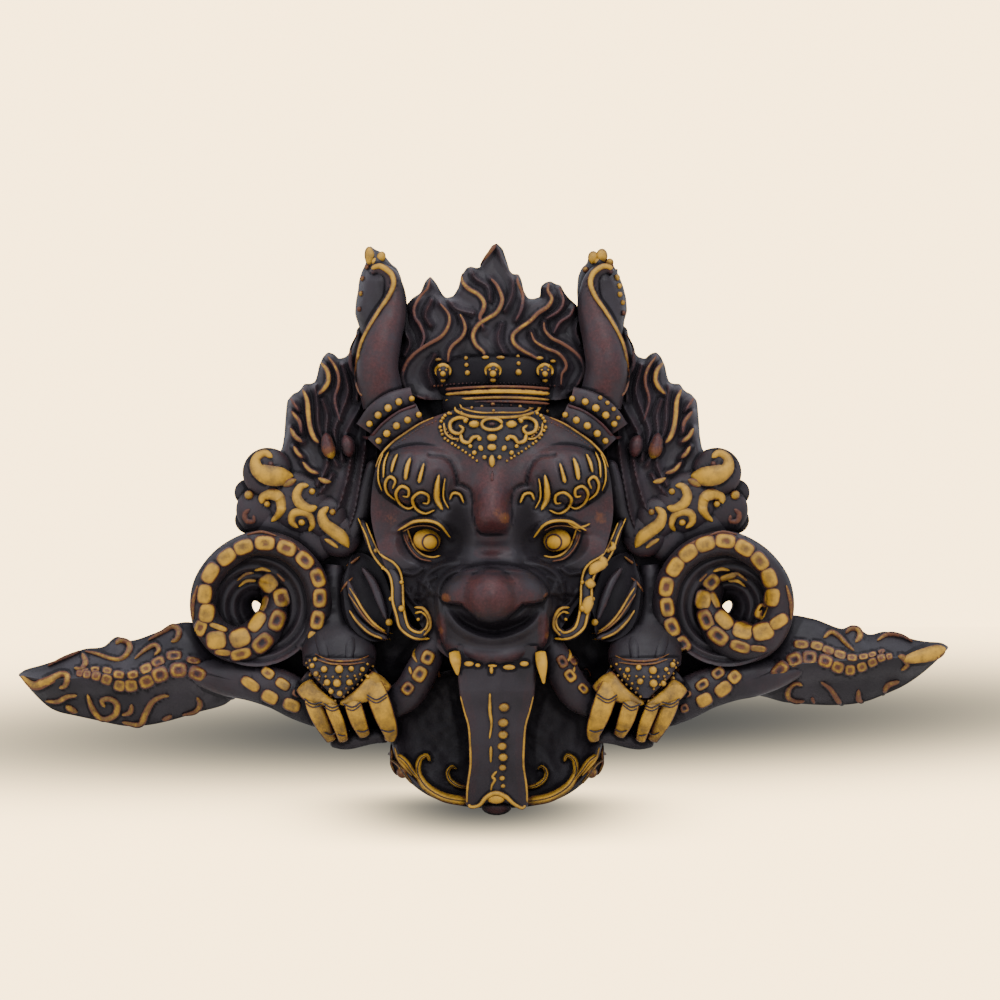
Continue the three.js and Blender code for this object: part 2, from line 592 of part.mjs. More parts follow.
const resin = new THREE.MeshStandardMaterial({ color: 0x2b2222, roughness: 0.55, metalness: 0 });
const part = new THREE.Group();
part.add(meshOf('mask', mask(), resin));

export default part;
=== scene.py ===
import math

import bpy
import numpy as np
from bpy.props import FloatProperty, FloatVectorProperty, PointerProperty
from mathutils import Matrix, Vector


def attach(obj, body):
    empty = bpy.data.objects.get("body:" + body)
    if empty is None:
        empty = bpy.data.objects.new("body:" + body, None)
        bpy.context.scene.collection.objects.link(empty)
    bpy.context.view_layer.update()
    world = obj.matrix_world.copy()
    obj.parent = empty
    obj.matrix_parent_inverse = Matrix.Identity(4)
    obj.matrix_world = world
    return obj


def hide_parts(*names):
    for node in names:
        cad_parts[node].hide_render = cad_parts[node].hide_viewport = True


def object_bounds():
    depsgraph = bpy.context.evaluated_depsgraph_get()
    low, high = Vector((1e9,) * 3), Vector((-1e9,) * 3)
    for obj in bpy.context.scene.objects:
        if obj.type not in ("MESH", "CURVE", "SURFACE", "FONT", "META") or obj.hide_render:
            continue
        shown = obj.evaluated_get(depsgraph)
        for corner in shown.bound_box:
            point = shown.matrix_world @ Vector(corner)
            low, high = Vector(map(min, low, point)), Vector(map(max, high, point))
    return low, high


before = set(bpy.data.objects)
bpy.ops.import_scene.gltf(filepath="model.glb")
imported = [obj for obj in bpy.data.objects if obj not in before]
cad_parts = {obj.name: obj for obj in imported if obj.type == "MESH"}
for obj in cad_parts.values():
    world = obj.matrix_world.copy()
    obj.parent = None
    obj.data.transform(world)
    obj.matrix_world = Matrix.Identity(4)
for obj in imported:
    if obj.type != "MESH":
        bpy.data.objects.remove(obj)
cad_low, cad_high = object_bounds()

bl_info = {
    "name": "Chhepu mask",
    "version": (1, 0, 0),
    "blender": (4, 5, 0),
    "location": "View3D > Sidebar > Mask",
    "description": "A cast wall mask of a horned guardian head between two coiled serpents",
    "category": "Add Mesh",
}

# Shapes are given in millimetres as [x, z, relief]: x to the right, z up, relief in front of the flat back.
# Paired shapes give x as the distance out from the middle line.
MM = 0.001
LEFT, RIGHT = -1, 1
SIDES = (LEFT, RIGHT)
BACK = 0.0  # relief of the flat back
AT_BACK = 0.01  # mm in front of the back within which a form counts as reaching it
BACK_STEP = 0.008  # mm between the backs of two members
FRONT_PITCH = 0.5  # mm between the places at which the front's relief is kept
BEND_SHARE = 0.92  # share of the way to a bend's centre that an offset may go
THINNEST = 0.12  # mm of half-width left where a form tapers off
TINY, FAR = 1e-4, 1e9
SCALE_STAIN = 0.22  # how gilt the middle of a hollow scale is left
LOWER_SHIFT = 2.0  # the mouth, tongue and jaw sit this far right of the middle line


# Sizes and colours

class MaskSizes(bpy.types.PropertyGroup):
    """Sizes of the fine carving, and the colours of the casting and the stage."""
    wire: FloatProperty(
        name="Gilt line", description="Half-width of the fine raised lines",
        default=0.00085, min=0.0003, max=0.002, unit="LENGTH", precision=5)
    scale_height: FloatProperty(
        name="Scale height", description="Height of a serpent scale over the skin",
        default=0.0013, min=0.0004, max=0.003, unit="LENGTH", precision=5)
    flute: FloatProperty(
        name="Hair flute", description="Depth of the flutes combed into the hair",
        default=0.00028, min=0.0, max=0.001, unit="LENGTH", precision=5)
    stone: FloatProperty(
        name="Ground roughness", description="Height of the rough texture in the sunk grounds",
        default=0.0007, min=0.0, max=0.002, unit="LENGTH", precision=5)
    dark: FloatVectorProperty(
        name="Antiqued dark", description="Colour of the sunk and plain surfaces",
        default=(0.021, 0.0175, 0.021), size=3, subtype="COLOR", min=0, max=1)
    rubbed: FloatVectorProperty(
        name="Rubbed red-brown", description="Colour of the smooth swells where the dark is rubbed back",
        default=(0.07, 0.021, 0.021), size=3, subtype="COLOR", min=0, max=1)
    stain: FloatVectorProperty(
        name="Edge of the gold", description="Colour where the gold paint thins out over the red-brown",
        default=(0.15, 0.052, 0.022), size=3, subtype="COLOR", min=0, max=1)
    thin_gold: FloatVectorProperty(
        name="Thin gold", description="Colour of the gold paint where it is thin",
        default=(0.19, 0.105, 0.016), size=3, subtype="COLOR", min=0, max=1)
    gold: FloatVectorProperty(
        name="Ochre gold", description="Colour of the gold paint on the raised detail",
        default=(0.66, 0.35, 0.024), size=3, subtype="COLOR", min=0, max=1)
    cream: FloatVectorProperty(
        name="Cream", description="Colour of the ground behind the mask, at a third of its brightness",
        default=(1.0, 0.71, 0.355), size=3, subtype="COLOR", min=0, max=1)
    ambient: FloatProperty(
        name="Ambient light", description="Brightness of the soft light from all round",
        default=1.1, min=0, max=5)


def sizes():
    return bpy.context.scene.mask_sizes


# Curves and surfaces as whole arrays

def smooth(stations, s):
    """Values at s of a curve through [position, value] stations: cubic pieces whose slope at a station is
    that of the chord between its two neighbours."""
    table = np.array(sorted(stations), float)
    place, value = table[:, 0], table[:, 1]
    count = len(place)
    after = np.minimum(np.arange(count) + 1, count - 1)
    before = np.maximum(np.arange(count) - 1, 0)
    slope = (value[after] - value[before]) / (place[after] - place[before])
    s = np.clip(s, place[0], place[-1])
    k = np.clip(np.searchsorted(place, s, side="right") - 1, 0, count - 2)
    span = place[k + 1] - place[k]
    t = (s - place[k]) / span
    return (
        (2 * t**3 - 3 * t**2 + 1) * value[k] + (t**3 - 2 * t**2 + t) * slope[k] * span
        + (3 * t**2 - 2 * t**3) * value[k + 1] + (t**3 - t**2) * slope[k + 1] * span
    )


def spread(values, t):
    """A number, or a list of numbers spread evenly over 0 to 1 and read at t along the smooth curve."""
    if np.ndim(values) == 0:
        return np.full_like(t, float(values))
    return smooth(list(zip(np.linspace(0, 1, len(values)), values)), t)


def ease(low, high, value):
    """0 below low, 1 above high, and a smooth S between: 3u^2 - 2u^3."""
    u = np.clip((value - low) / (high - low), 0, 1)
    return u * u * (3 - 2 * u)


def route(path, step):
    """Points about one step apart along a smooth curve through the path, and the share of the way at each.
    Each piece is a cubic whose end slopes are half the chord over the two neighbouring points."""
    knots = np.asarray(path, float)
    last = len(knots) - 1
    padded = np.vstack([2 * knots[0] - knots[1], knots, 2 * knots[-1] - knots[-2]])
    slope = (padded[2:] - padded[:-2]) / 2

    def at(t):
        k = np.clip(t.astype(int), 0, last - 1)
        u = (t - k)[:, None]
        return (
            (2 * u**3 - 3 * u**2 + 1) * knots[k] + (u**3 - 2 * u**2 + u) * slope[k]
            + (3 * u**2 - 2 * u**3) * knots[k + 1] + (u**3 - u**2) * slope[k + 1]
        )

    dense = np.linspace(0, last, 20 * last + 1)
    run = np.concatenate([[0], np.cumsum(np.linalg.norm(np.diff(at(dense), axis=0), axis=1))])
    count = max(4, int(np.ceil(run[-1] / step)))
    t = np.interp(np.linspace(0, run[-1], count + 1), run, dense)
    return at(t), t / last


def off_route(x, z, path, step=2.0):
    """Distance in the front view from each point to the curve through the path, and the share of the way
    along it of the nearest point, found piece by piece of a fine chain of chords."""
    chain, share = route(np.asarray(path, float)[:, :2], step)
    nearest, place = off_chain(x, z, chain)
    return nearest, np.interp(place, np.linspace(0, 1, len(share)), share)


def stroke(x, z, path, half, height):
    """A soft welt along a path: height times (1 - d^2)^2, with d the distance from the path over the half-
    width. Half-width and height may change along it, and a negative height is a groove."""
    gap, share = off_route(x, z, path)
    d = np.clip(gap / spread(half, share), 0, 1)
    return spread(height, share) * (1 - d * d) ** 2


LATTICE_CELLS = 64
LATTICE_SHIFT = 300.0  # cells, so that no place of the mask has a negative one
LATTICE = np.random.default_rng(41).random((LATTICE_CELLS, LATTICE_CELLS))


def grain(x, z, pitch):
    """Smooth noise from -1 to 1: random values on a square lattice of the given pitch, eased in between."""
    u, v = x / pitch + LATTICE_SHIFT, z / pitch + LATTICE_SHIFT
    i, j = np.floor(u).astype(int), np.floor(v).astype(int)
    fu, fv = ease(0, 1, u - i), ease(0, 1, v - j)

    def corner(di, dj):
        return LATTICE[(i + di) % LATTICE_CELLS, (j + dj) % LATTICE_CELLS]

    low = corner(0, 0) * (1 - fu) + corner(1, 0) * fu
    high = corner(0, 1) * (1 - fu) + corner(1, 1) * fu
    return 2 * (low * (1 - fv) + high * fv) - 1


def halved(rings, axis):
    """The same surface with a new row, or column, half way between each two."""
    fine = np.repeat(rings, 2, axis)
    fine = np.delete(fine, -1, axis)
    lower, upper = np.delete(rings, -1, axis), np.delete(rings, 0, axis)
    between = (lower + upper) / 2
    if axis == 0:
        fine[1::2] = between
    else:
        fine[:, 1::2] = between
    return fine


class Front:
    """How far forward the casting reaches at each place, on a square grid, as the forms made so far leave
    it."""
    low = np.array([-200.0, -165.0])
    span = np.array([400.0, 250.0])

    def __init__(self, pitch):
        self.pitch = pitch
        self.relief = np.zeros((self.span / pitch).astype(int) + 1)

    def press_points(self, points):
        """Takes in points of [x, z, relief], keeping the highest relief in each cell."""
        cell = np.rint((points[:, :2] - self.low) / self.pitch).astype(int)
        cell = np.clip(cell, 0, np.array(self.relief.shape) - 1)
        np.maximum.at(self.relief, (cell[:, 0], cell[:, 1]), points[:, 2])

    def press(self, rings):
        """Takes in a surface of (rows, columns, [x, z, relief]), made finer by bilinear steps."""
        fine = rings
        for axis in (0, 1):
            gap = np.linalg.norm(np.diff(rings[..., :2], axis=axis), axis=-1).max()
            while gap > 0.9 * self.pitch:
                fine = halved(fine, axis)
                gap /= 2
        self.press_points(fine.reshape(-1, 3))

    def press_faces(self, points, faces):
        """Takes in triangles, each sampled at even shares of its corners no further apart than a cell."""
        corners = points[faces]
        corners = corners[corners[..., 2].max(axis=1) > BACK + 1]
        edges = (corners - np.roll(corners, 1, axis=1))[..., :2]
        steps = np.ceil(np.linalg.norm(edges, axis=-1).max(axis=1) / self.pitch).astype(int).clip(1)
        for count in np.unique(steps):
            i, j = np.nonzero(np.add.outer(np.arange(count + 1), np.arange(count + 1)) <= count)
            share = np.column_stack([i, j, count - i - j]) / count
            self.press_points(np.einsum("mk,nkc->nmc", share, corners[steps == count]).reshape(-1, 3))

    def mean(self, reach):
        """A map of the mean relief of the covered cells within a square that goes "reach" mm each way."""
        cells = round(reach / self.pitch)
        size = 2 * cells + 1

        def box(values):
            for axis in (0, 1):
                edge = [(cells + 1, cells) if axis == k else (0, 0) for k in (0, 1)]
                total = np.cumsum(np.pad(values, edge), axis=axis)
                count = values.shape[axis]
                values = np.take(total, np.arange(count) + size, axis) - np.take(total, np.arange(count),
                    axis)
            return values

        covered = (self.relief > BACK + 1).astype(float)
        made = Front(self.pitch)
        made.relief = box(self.relief * covered) / np.maximum(box(covered), 1)
        return made

    def at(self, x, z):
        """Relief at any place, from the four cells around it."""
        u = np.clip((np.asarray(x, float) - self.low[0]) / self.pitch, 0, self.relief.shape[0] - 1.001)
        v = np.clip((np.asarray(z, float) - self.low[1]) / self.pitch, 0, self.relief.shape[1] - 1.001)
        i, j = u.astype(int), v.astype(int)
        fu, fv = u - i, v - j
        r = self.relief
        return (
            (r[i, j] * (1 - fu) + r[i + 1, j] * fu) * (1 - fv)
            + (r[i, j + 1] * (1 - fu) + r[i + 1, j + 1] * fu) * fv
        )


front = Front(FRONT_PITCH)
castings = []


class Clay:
    """Closed surfaces gathered into one mesh, with how gilt and how rubbed each point is. A rub below 0 is
    painted shade, which darkens the point."""

    flush = 0

    def __init__(self):
        self.points, self.quads, self.triangles, self.gilt, self.rub = [], [], [], [], []
        self.count = 0

    def take(self, points, quads, triangles, gilt, rub):
        """Adds a closed surface, turned so that its enclosed volume is positive. Each one that reaches the
        flat back ends a hair before the last one, so that no two share a plane."""
        relief = np.maximum(points[:, 2], BACK)
        if relief.min() < BACK + AT_BACK:
            relief = np.maximum(relief, BACK + BACK_STEP * Clay.flush)
            Clay.flush += 1
        solid = np.column_stack([points[:, 0], -relief, points[:, 1]])
        corners = np.vstack([quads[:, [0, 1, 2]], quads[:, [0, 2, 3]], triangles])
        a, b, c = solid[corners[:, 0]], solid[corners[:, 1]], solid[corners[:, 2]]
        if np.einsum("ij,ij->i", a, np.cross(b, c)).sum() < 0:
            quads, triangles = quads[:, ::-1], triangles[:, ::-1]
        self.points.append(solid)
        self.quads.append(quads + self.count)
        self.triangles.append(triangles + self.count)
        self.gilt.append(np.clip(np.broadcast_to(gilt, len(points)), 0, 1))
        self.rub.append(np.clip(np.broadcast_to(rub, len(points)), -1, 1))
        self.count += len(points)

    def add(self, rings, gilt=0.0, rub=0.0):
        """A closed surface through rings of [x, z, relief]. Each end is closed by a fan from its middle."""
        rows, columns = rings.shape[:2]
        middles = rings[[0, -1]].mean(axis=1)
        points = np.vstack([rings.reshape(-1, 3), middles])
        first = (np.arange(rows - 1) * columns)[:, None]
        here = np.arange(columns)[None, :]
        after = (here + 1) % columns
        quads = np.stack(
            [first + here, first + after, first + columns + after, first + columns + here], -1
        ).reshape(-1, 4)
        around, onward = here[0], after[0]
        final = (rows - 1) * columns
        start, end = rows * columns, rows * columns + 1
        triangles = np.vstack([
            np.column_stack([onward, around, np.full(columns, start)]),
            np.column_stack([final + around, final + onward, np.full(columns, end)]),
        ])

        def with_ends(value):
            value = np.broadcast_to(value, (rows, columns))
            return np.concatenate([value.ravel(), [value[0].mean(), value[-1].mean()]])

        self.take(points, quads, triangles, with_ends(gilt), with_ends(rub))

    def cast(self, name, sharp=48):
        """Makes the mesh and its object, in metres, with the casting's finish."""
        points = np.vstack(self.points) * MM
        quads, triangles = np.vstack(self.quads), np.vstack(self.triangles)
        mesh = bpy.data.meshes.new(name)
        mesh.vertices.add(len(points))
        mesh.vertices.foreach_set("co", points.astype(np.float32).ravel())
        corners = np.concatenate([quads.ravel(), triangles.ravel()])
        mesh.loops.add(len(corners))
        mesh.loops.foreach_set("vertex_index", corners.astype(np.int32))
        starts = np.concatenate([
            np.arange(len(quads)) * 4, 4 * len(quads) + np.arange(len(triangles)) * 3])
        mesh.polygons.add(len(starts))
        mesh.polygons.foreach_set("loop_start", starts.astype(np.int32))
        for label, values in (("gilt", self.gilt), ("rub", self.rub)):
            layer = mesh.attributes.new(label, "FLOAT", "POINT")
            layer.data.foreach_set("value", np.concatenate(values).astype(np.float32))
        mesh.update(calc_edges=True)
        mesh.validate()
        mesh.shade_smooth()
        mesh.set_sharp_from_angle(angle=math.radians(sharp))
        return place(mesh, name)


def place(mesh, name):
    """Shows a finished mesh as a piece of the casting that stands for the plain solid."""
    piece = bpy.data.objects.new(name, mesh)
    bpy.context.scene.collection.objects.link(piece)
    piece.data.materials.append(painted_resin())
    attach(piece, "root")
    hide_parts("mask")
    castings.append(piece)
    return piece


# Ways of modelling

def frame_of(at):
    """Unit directions across a route in the front view, and its bend there in turns of the heading per
    mm."""
    flow = np.gradient(at[:, :2], axis=0)
    flow /= np.maximum(np.linalg.norm(flow, axis=1), 1e-6)[:, None]
    across = np.column_stack([flow[:, 1], -flow[:, 0]])
    heading = np.unwrap(np.arctan2(flow[:, 1], flow[:, 0]))
    run = np.concatenate([[0], np.cumsum(np.linalg.norm(np.diff(at[:, :2], axis=0), axis=1))])
    bend = np.gradient(heading, np.maximum.accumulate(run + np.arange(len(run)) * 1e-6))
    return across, bend


def footed(x, z, relief, foot):
    """Rings of a form as (rows, columns, [x, z, relief]), with a foot straight behind each end of every
    ring."""
    return np.stack([
        np.hstack([x[:, :1], x, x[:, -1:]]), np.hstack([z[:, :1], z, z[:, -1:]]),
        np.hstack([foot, relief, foot])], -1)


def turned(x, z, u, v, turn, side):
    """Places at offsets u and v from a middle, turned by "turn" degrees and then put on one side."""
    c, s = math.cos(math.radians(turn)), math.sin(math.radians(turn))
    return side * (x + c * u - s * v), z + s * u + c * v


def squared(angle, power):
    """Cosine and sine drawn out towards a square: each keeps its sign and is raised to 2 over the power."""
    c, s = np.cos(angle), np.sin(angle)
    return np.sign(c) * np.abs(c) ** (2 / power), np.sign(s) * np.abs(s) ** (2 / power)


def full_turn(count):
    """Evenly spaced angles once round, the last one short of the first."""
    return np.linspace(0, 2 * np.pi, count + 1)[:-1]


def rounded(width, rise, columns=15):
    """A half-ellipse: offset is width times sin a and drop is rise times (1 - cos a), for a from -90 to 90
    degrees."""
    a = np.linspace(-np.pi / 2, np.pi / 2, columns)
    return width * np.sin(a), -rise * (1 - np.cos(a))


def sweep(clay, path, half, rise, section=rounded, side=1, step=0.9, deep=None, gold=0.0, rub=0.0,
        press=True,
          ends=0.0):
    """A form carried along a path whose relief is that of its crest. The section lies across the path in
    the front view, and its feet go straight back to the flat back, or only by "deep". Inside a bend the
    offsets stop short of the bend's centre. Both ends are rounded off over "ends" mm. Gold covers the crest
    and thins out down the flanks; rub does so too, and painted shade, which is a rub below 0, covers the
    whole width."""
    at, t = route(path, step)
    at[:, 0] *= side
    across, bend = frame_of(at)
    width = spread(half, t)[:, None]
    height = spread(rise, t)[:, None]
    if ends:
        run = np.linspace(0, 1, len(t)) * len(t) * step
        near_end = np.minimum(run, run[-1] - run) / ends
        round_off = np.sqrt(1 - (1 - np.clip(near_end, 0.02, 1)) ** 2)[:, None]
        width = width * round_off
        at[:, 2] -= (height * (1 - round_off))[:, 0]
        height = height * round_off
    width = np.maximum(width, THINNEST)
    offset, drop = section(width, height)
    bend = bend[:, None]
    inside = np.sign(offset) * np.sign(bend) < 0
    reach = np.where(inside, BEND_SHARE / np.maximum(np.abs(bend), TINY), FAR)
    bound = np.sign(offset) * np.minimum(np.abs(offset), reach)
    x = at[:, :1] + across[:, :1] * bound
    z = at[:, 1:2] + across[:, 1:2] * bound
    relief = at[:, 2:3] + drop
    foot = np.full_like(width, BACK) if deep is None else at[:, 2:3] - height - deep
    level = spread(gold, t)[:, None]
    cover = 1 - ease(0.4, 1.0, -drop / np.maximum(height, 0.01))
    rub_and_shade = spread(rub, t)[:, None]
    # Rubbing thins out down the flanks, while painted shade, a rub below 0, covers the whole width
    rub_and_shade = np.where(rub_and_shade < 0, rub_and_shade, rub_and_shade * (1 - ease(0.2, 1.0, np.abs(offset) / width)))
    zero = np.zeros_like(width)
    gilt = np.hstack([zero, level * cover, zero])
    clay.add(footed(x, z, relief, foot), gilt, np.hstack([zero, rub_and_shade, zero]))
    if press:
        front.press(np.stack([x, z, relief], -1))


def settle(x, z, span=5):
    """Relief of the front along a line, as the mean over a few neighbouring points."""
    relief = front.at(x, z)
    if span > 1 and len(relief) > span:
        edge = span // 2
        long = np.concatenate([np.full(edge, relief[0]), relief, np.full(edge, relief[-1])])
        relief = np.convolve(long, np.ones(span) / span, "valid")
    return relief


def wire(clay, path, half=None, side=1, lift=0.25, gold=1.0, rub=0.0, tall=1.0, span=7, step=0.7,
        relief=None):
    """A fine raised line laid on the front, or at a given relief: an ellipse carried along the path,
    rounded off at both ends. Only its upper side is gilt. The relief under it is a mean over "span"
    points."""
    half = sizes().wire / MM if half is None else half
    at, t = route(np.asarray(path, float)[:, :2], step)
    at[:, 0] *= side
    across, _ = frame_of(at)
    width = spread(half, t)
    length = len(t) * step
    near_end = np.minimum(t, 1 - t) * length / np.maximum(1.4 * width, 0.5)
    width = np.maximum(width * np.sqrt(1 - (1 - np.clip(near_end, 0.03, 1)) ** 2), 0.08)
    relief = (settle(at[:, 0], at[:, 1], span) if relief is None else spread(relief, t)) + lift
    a = full_turn(8) + np.pi / 8
    offset, up = np.sin(a)[None, :] * width[:, None], np.cos(a)[None, :] * width[:, None] * tall
    rings = np.stack([
        at[:, :1] + across[:, :1] * offset, at[:, 1:2] + across[:, 1:2] * offset, relief[:, None] + up], -1)
    cover = ease(-0.1, 0.85, np.cos(a))[None, :]
    clay.add(rings, spread(gold, t)[:, None] * cover, spread(rub, t)[:, None] * np.ones_like(cover))


def bead(clay, x, z, radius, side=1, tall=1.0, long=1.0, turn=0.0, lift=0.0, gold=1.0, rub=0.0, around=10,
        up=5,
         press=False, relief=None):
    """A ball or egg set on the front, sunk by its lower half. "long" stretches it along "turn" degrees."""
    a = full_turn(around)
    tilt = np.linspace(-0.47 * np.pi, 0.47 * np.pi, up + 1)[:, None]
    u, v = radius * long * np.cos(tilt) * np.cos(a), radius * np.cos(tilt) * np.sin(a)
    base = float(front.at(side * x, z)) if relief is None else relief
    height = base + lift + radius * tall * np.sin(tilt) + 0 * a
    rings = np.stack([*turned(x, z, u, v, turn, side), height], -1)
    cover = ease(-0.25, 0.75, np.sin(tilt)) + 0 * a
    clay.add(rings, gold * cover, rub * np.ones_like(cover))
    if press:
        front.press(rings)


def row_of_beads(clay, path, count, radius, side=1, **how):
    """Beads evenly spaced along a path, their radius spread along it."""
    at, _ = route(np.asarray(path, float)[:, :2], 0.5)
    picked = at[np.linspace(0, len(at) - 1, count).astype(int)]
    for (x, z), r in zip(picked, spread(radius, np.linspace(0, 1, count))):
        bead(clay, x, z, float(r), side=side, **how)


# Shares of the way from a scale's middle to its rim at which its rings lie; the last two go down into the
# skin
SCALE_RINGS = (0.1, 0.28, 0.42, 0.56, 0.7, 0.82, 0.91, 0.97, 1.0, 1.02)
SKIN_SHARE = 0.65  # how far a scale follows the skin under each point, and not only under its middle


def scale_pad(clay, x, z, long, wide, turn, side=1, height=None, gold=1.0, dimple=0.0, rub=0.3):
    """A serpent scale: a superellipse of power 3 on the skin, with a flat rounded top and a rubbed dimple
    in its middle. Its height follows (1 - d^4)^(1/2), with d the share of the way to the rim."""
    height = sizes().scale_height / MM if height is None else height
    share = np.array(SCALE_RINGS)[:, None]
    c, s = squared(full_turn(22), 3.0)
    px, pz = turned(x, z, share * long * c, share * wide * s, turn, side)
    top = height * np.sqrt(np.clip(1 - share**4, 0, 1)) - dimple * (1 - ease(0.1, 0.5, share))
    skin = front.at(px, pz)
    level = SKIN_SHARE * skin + (1 - SKIN_SHARE) * float(front.at(side * x, z))
    relief = level + top
    relief[-2] = level[-2] - 0.1
    relief[-1] = np.maximum(skin[-1] - 2.0, BACK)
    relief[-2] = np.maximum(relief[-2], BACK)
    rings = np.stack([px, pz, relief], -1)
    worn = (1 - SCALE_STAIN) * (1 - ease(0.2, 0.62, share)) * min(1.0, 1.8 * dimple + 0.12)
    # The gold dims towards the rim, a painted shade on the scale's rounded edge, then fades out over the
    # last quarter
    cover = (1 - 0.3 * share**2) * (1 - ease(0.74, 1.0, share)) * (1 - worn)
    clay.add(rings, gold * cover + 0 * c, rub + 0 * share + 0 * c)


def scale_row(clay, places, side=1, **how):
    """Scales along a row of [x, z, half-length, half-width, gold, dimple]. Each lies along the line between
    its neighbours."""
    at = np.array([p[:2] for p in places], float)
    flow = np.gradient(at, axis=0) if len(at) > 1 else np.array([[1.0, 0.0]])
    for (x, z, long, wide, gold, dimple), (dx, dz) in zip(places, flow):
        scale_pad(clay, x, z, long, wide, math.degrees(math.atan2(dz, dx)), side=side, gold=gold,
            dimple=dimple, **how)


def along_corners(corners, count, soften=1):
    """Evenly spaced points on the straight chain through the corners, each the mean over its close
    neighbours, so that the corners are a little rounded."""
    corners = np.asarray(corners, float)
    run = np.concatenate([[0], np.cumsum(np.linalg.norm(np.diff(corners, axis=0), axis=1))])
    here = np.linspace(0, run[-1], count)
    at = np.column_stack([np.interp(here, run, corners[:, 0]), np.interp(here, run, corners[:, 1])])
    for _ in range(soften):
        at[1:-1] = (at[:-2] + 2 * at[1:-1] + at[2:]) / 4
    return at


RIM_SOFTEN, ROOT_SOFTEN = 9, 30
RULING_POWER = 1.15  # above 1, so that the rows lie closer at the rim


def carved_patch(clay, rim, root, field, side=1, columns=300, rows=70, edge=16.0, round_over=3.0, rub=0.0):
    """A carved sheet between its outline and an inner line, along straight rulings. Its relief is field(x,
    z), and falls in a quarter-round to "edge" over the last mm before the outline."""
    outer = along_corners(rim, columns, RIM_SOFTEN)
    inner = along_corners(root, columns, ROOT_SOFTEN)
    share = np.linspace(0, 1, rows)[None, :, None] ** RULING_POWER
    flat = outer[:, None] * (1 - share) + inner[:, None] * share
    x, z = flat[..., 0], flat[..., 1]
    relief = field(x, z)
    gap, _ = off_chain(x, z, outer)
    u = np.clip(gap / round_over, 0, 1)
    low = np.minimum(edge, relief)
    relief = low + (relief - low) * np.sqrt(1 - (1 - u) ** 2)
    x = side * x
    front.press(np.stack([x, z, relief], -1))
    clay.add(footed(x, z, relief, np.full((columns, 1), BACK)), 0.0, rub)


def off_chain(x, z, chain):
    """Distance from each point to a chain of short chords, and the share of the way along it."""
    nearest = np.full(np.shape(x), 1e9)
    where = np.zeros(np.shape(x))
    last = len(chain) - 1
    for k in range(last):
        (ax, az), (bx, bz) = chain[k], chain[k + 1]
        dx, dz = bx - ax, bz - az
        u = np.clip(((x - ax) * dx + (z - az) * dz) / max(dx * dx + dz * dz, 1e-9), 0, 1)
        gap = np.hypot(x - ax - u * dx, z - az - u * dz)
        closer = gap < nearest
        nearest = np.where(closer, gap, nearest)
        where = np.where(closer, (k + u) / last, where)
    return nearest, where


def combed(x, z, ground, locks, rise=3.6, flute=0.3, comb=2.1):
    """Hair: from each lock's crest the relief falls over its half-width as rise times (1 - d)^1.6, on top
    of the ground; the highest lock wins, and a cosine of the distance to the nearest crest combs the
    hollows."""
    top = np.zeros(np.shape(x))
    nearest = np.full(np.shape(x), 1e9)
    for path, half in locks:
        gap, share = off_route(x, z, path)
        width = spread([0.6 * half, half, half, 0.9 * half], share)
        ridge = rise * (1 - np.clip(gap / width, 0, 1)) ** 1.6
        top = np.maximum(top, ridge)
        nearest = np.minimum(nearest, gap)
    lines = flute * np.cos(2 * np.pi * nearest / comb) * ease(0.6, 1.6,
        nearest) * (1 - ease(7, 10, nearest))
    crest = 0.5 * np.exp(-((nearest / 1.0) ** 2))
    return ground(x, z) + top + lines + crest


# Head

ENGRAVED = {"beyond": 1.3, "depth": 0.9}  # grooves that set the fine lines of the brows off
HEAD_FOOT = 20
HEAD_ARCH = 2.4
HEAD_WIDTH = [[9, 12], [4.4, 25], [-2.8, 37], [-9.2, 44.5], [-30, 48.5], [-44, 46.5], [-60, 40],
    [-78, 28.5], [-88, 21], [-94, 13]]
HEAD_RELIEF = [[9, 44], [0, 52], [-12, 58], [-24, 61], [-38, 60], [-50, 57], [-62, 62], [-78, 66],
    [-94, 58]]
HOLLOW = {"z": -40, "half_width": 35, "half_height": 34, "depth": 40, "power": 2.8}

UPPER_LID = [[38.6, -40.4], [35, -38.8], [31, -36.8], [27.6, -36], [23.6, -36.4], [19.6, -38.6],
    [16, -43.4]]
LOWER_LID = [[34.4, -40.6], [33.2, -44.8], [31, -48.2], [28, -50.6], [24, -51.6], [19.6, -50.6]]
BROW_GROOVES = [[[24.8, -10], [18, -11.2], [14.8, -16], [13.6, -22]], [[12, -22], [8.8, -24], [7.2, -29]]]
NOSE_EDGE = [[-30, -66], [-21.6, -66], [-19.6, -68.4], [-17, -69.2], [-12, -69.6], [-8.4, -73],
    [-5.6, -75.8], [0, -77],
             [5.6, -75.8], [8.4, -73], [12, -69.6], [17, -69.2], [20, -68.4], [22, -66], [30, -66]]
NOSE_FOLD = [[2, -55.6], [8, -55.4], [14, -56], [19, -58.6], [21.6, -64], [21.2, -74], [20.6, -84]]
OUTER_FOLD = [[14, -52.6], [20, -53.8], [26, -58], [28.4, -64], [27.4, -72]]
LIP_LINE = [[-17.4, -74], [-12.6, -79], [-6.4, -82], [0.6, -83], [7.6, -82], [14, -79], [19.4, -74]]
GUM_LINE = [[-18.6, -86.6], [-12.6, -89], [-6, -90.6], [1, -91.2], [8, -90.6], [14.4, -89], [20, -86]]
CHEEK_CURLS = [
    [[29, -60], [26, -63], [27.6, -67], [31.4, -66.4], [31.2, -63.4]],
    [[34.4, -64], [31, -69], [27.6, -72], [28.4, -75.6], [32, -75]],
    [[22.4, -58.4], [25.6, -60.4], [24.8, -64]],
    [[35, -57], [31, -57.6], [28, -55.4]],
    [[36, -70], [33.4, -72.4], [34, -77]],
]


def smooth_max(a, b, blend):
    """The larger of two reliefs, rounded where they meet."""
    return (a + b + np.sqrt((a - b) ** 2 + blend**2)) / 2


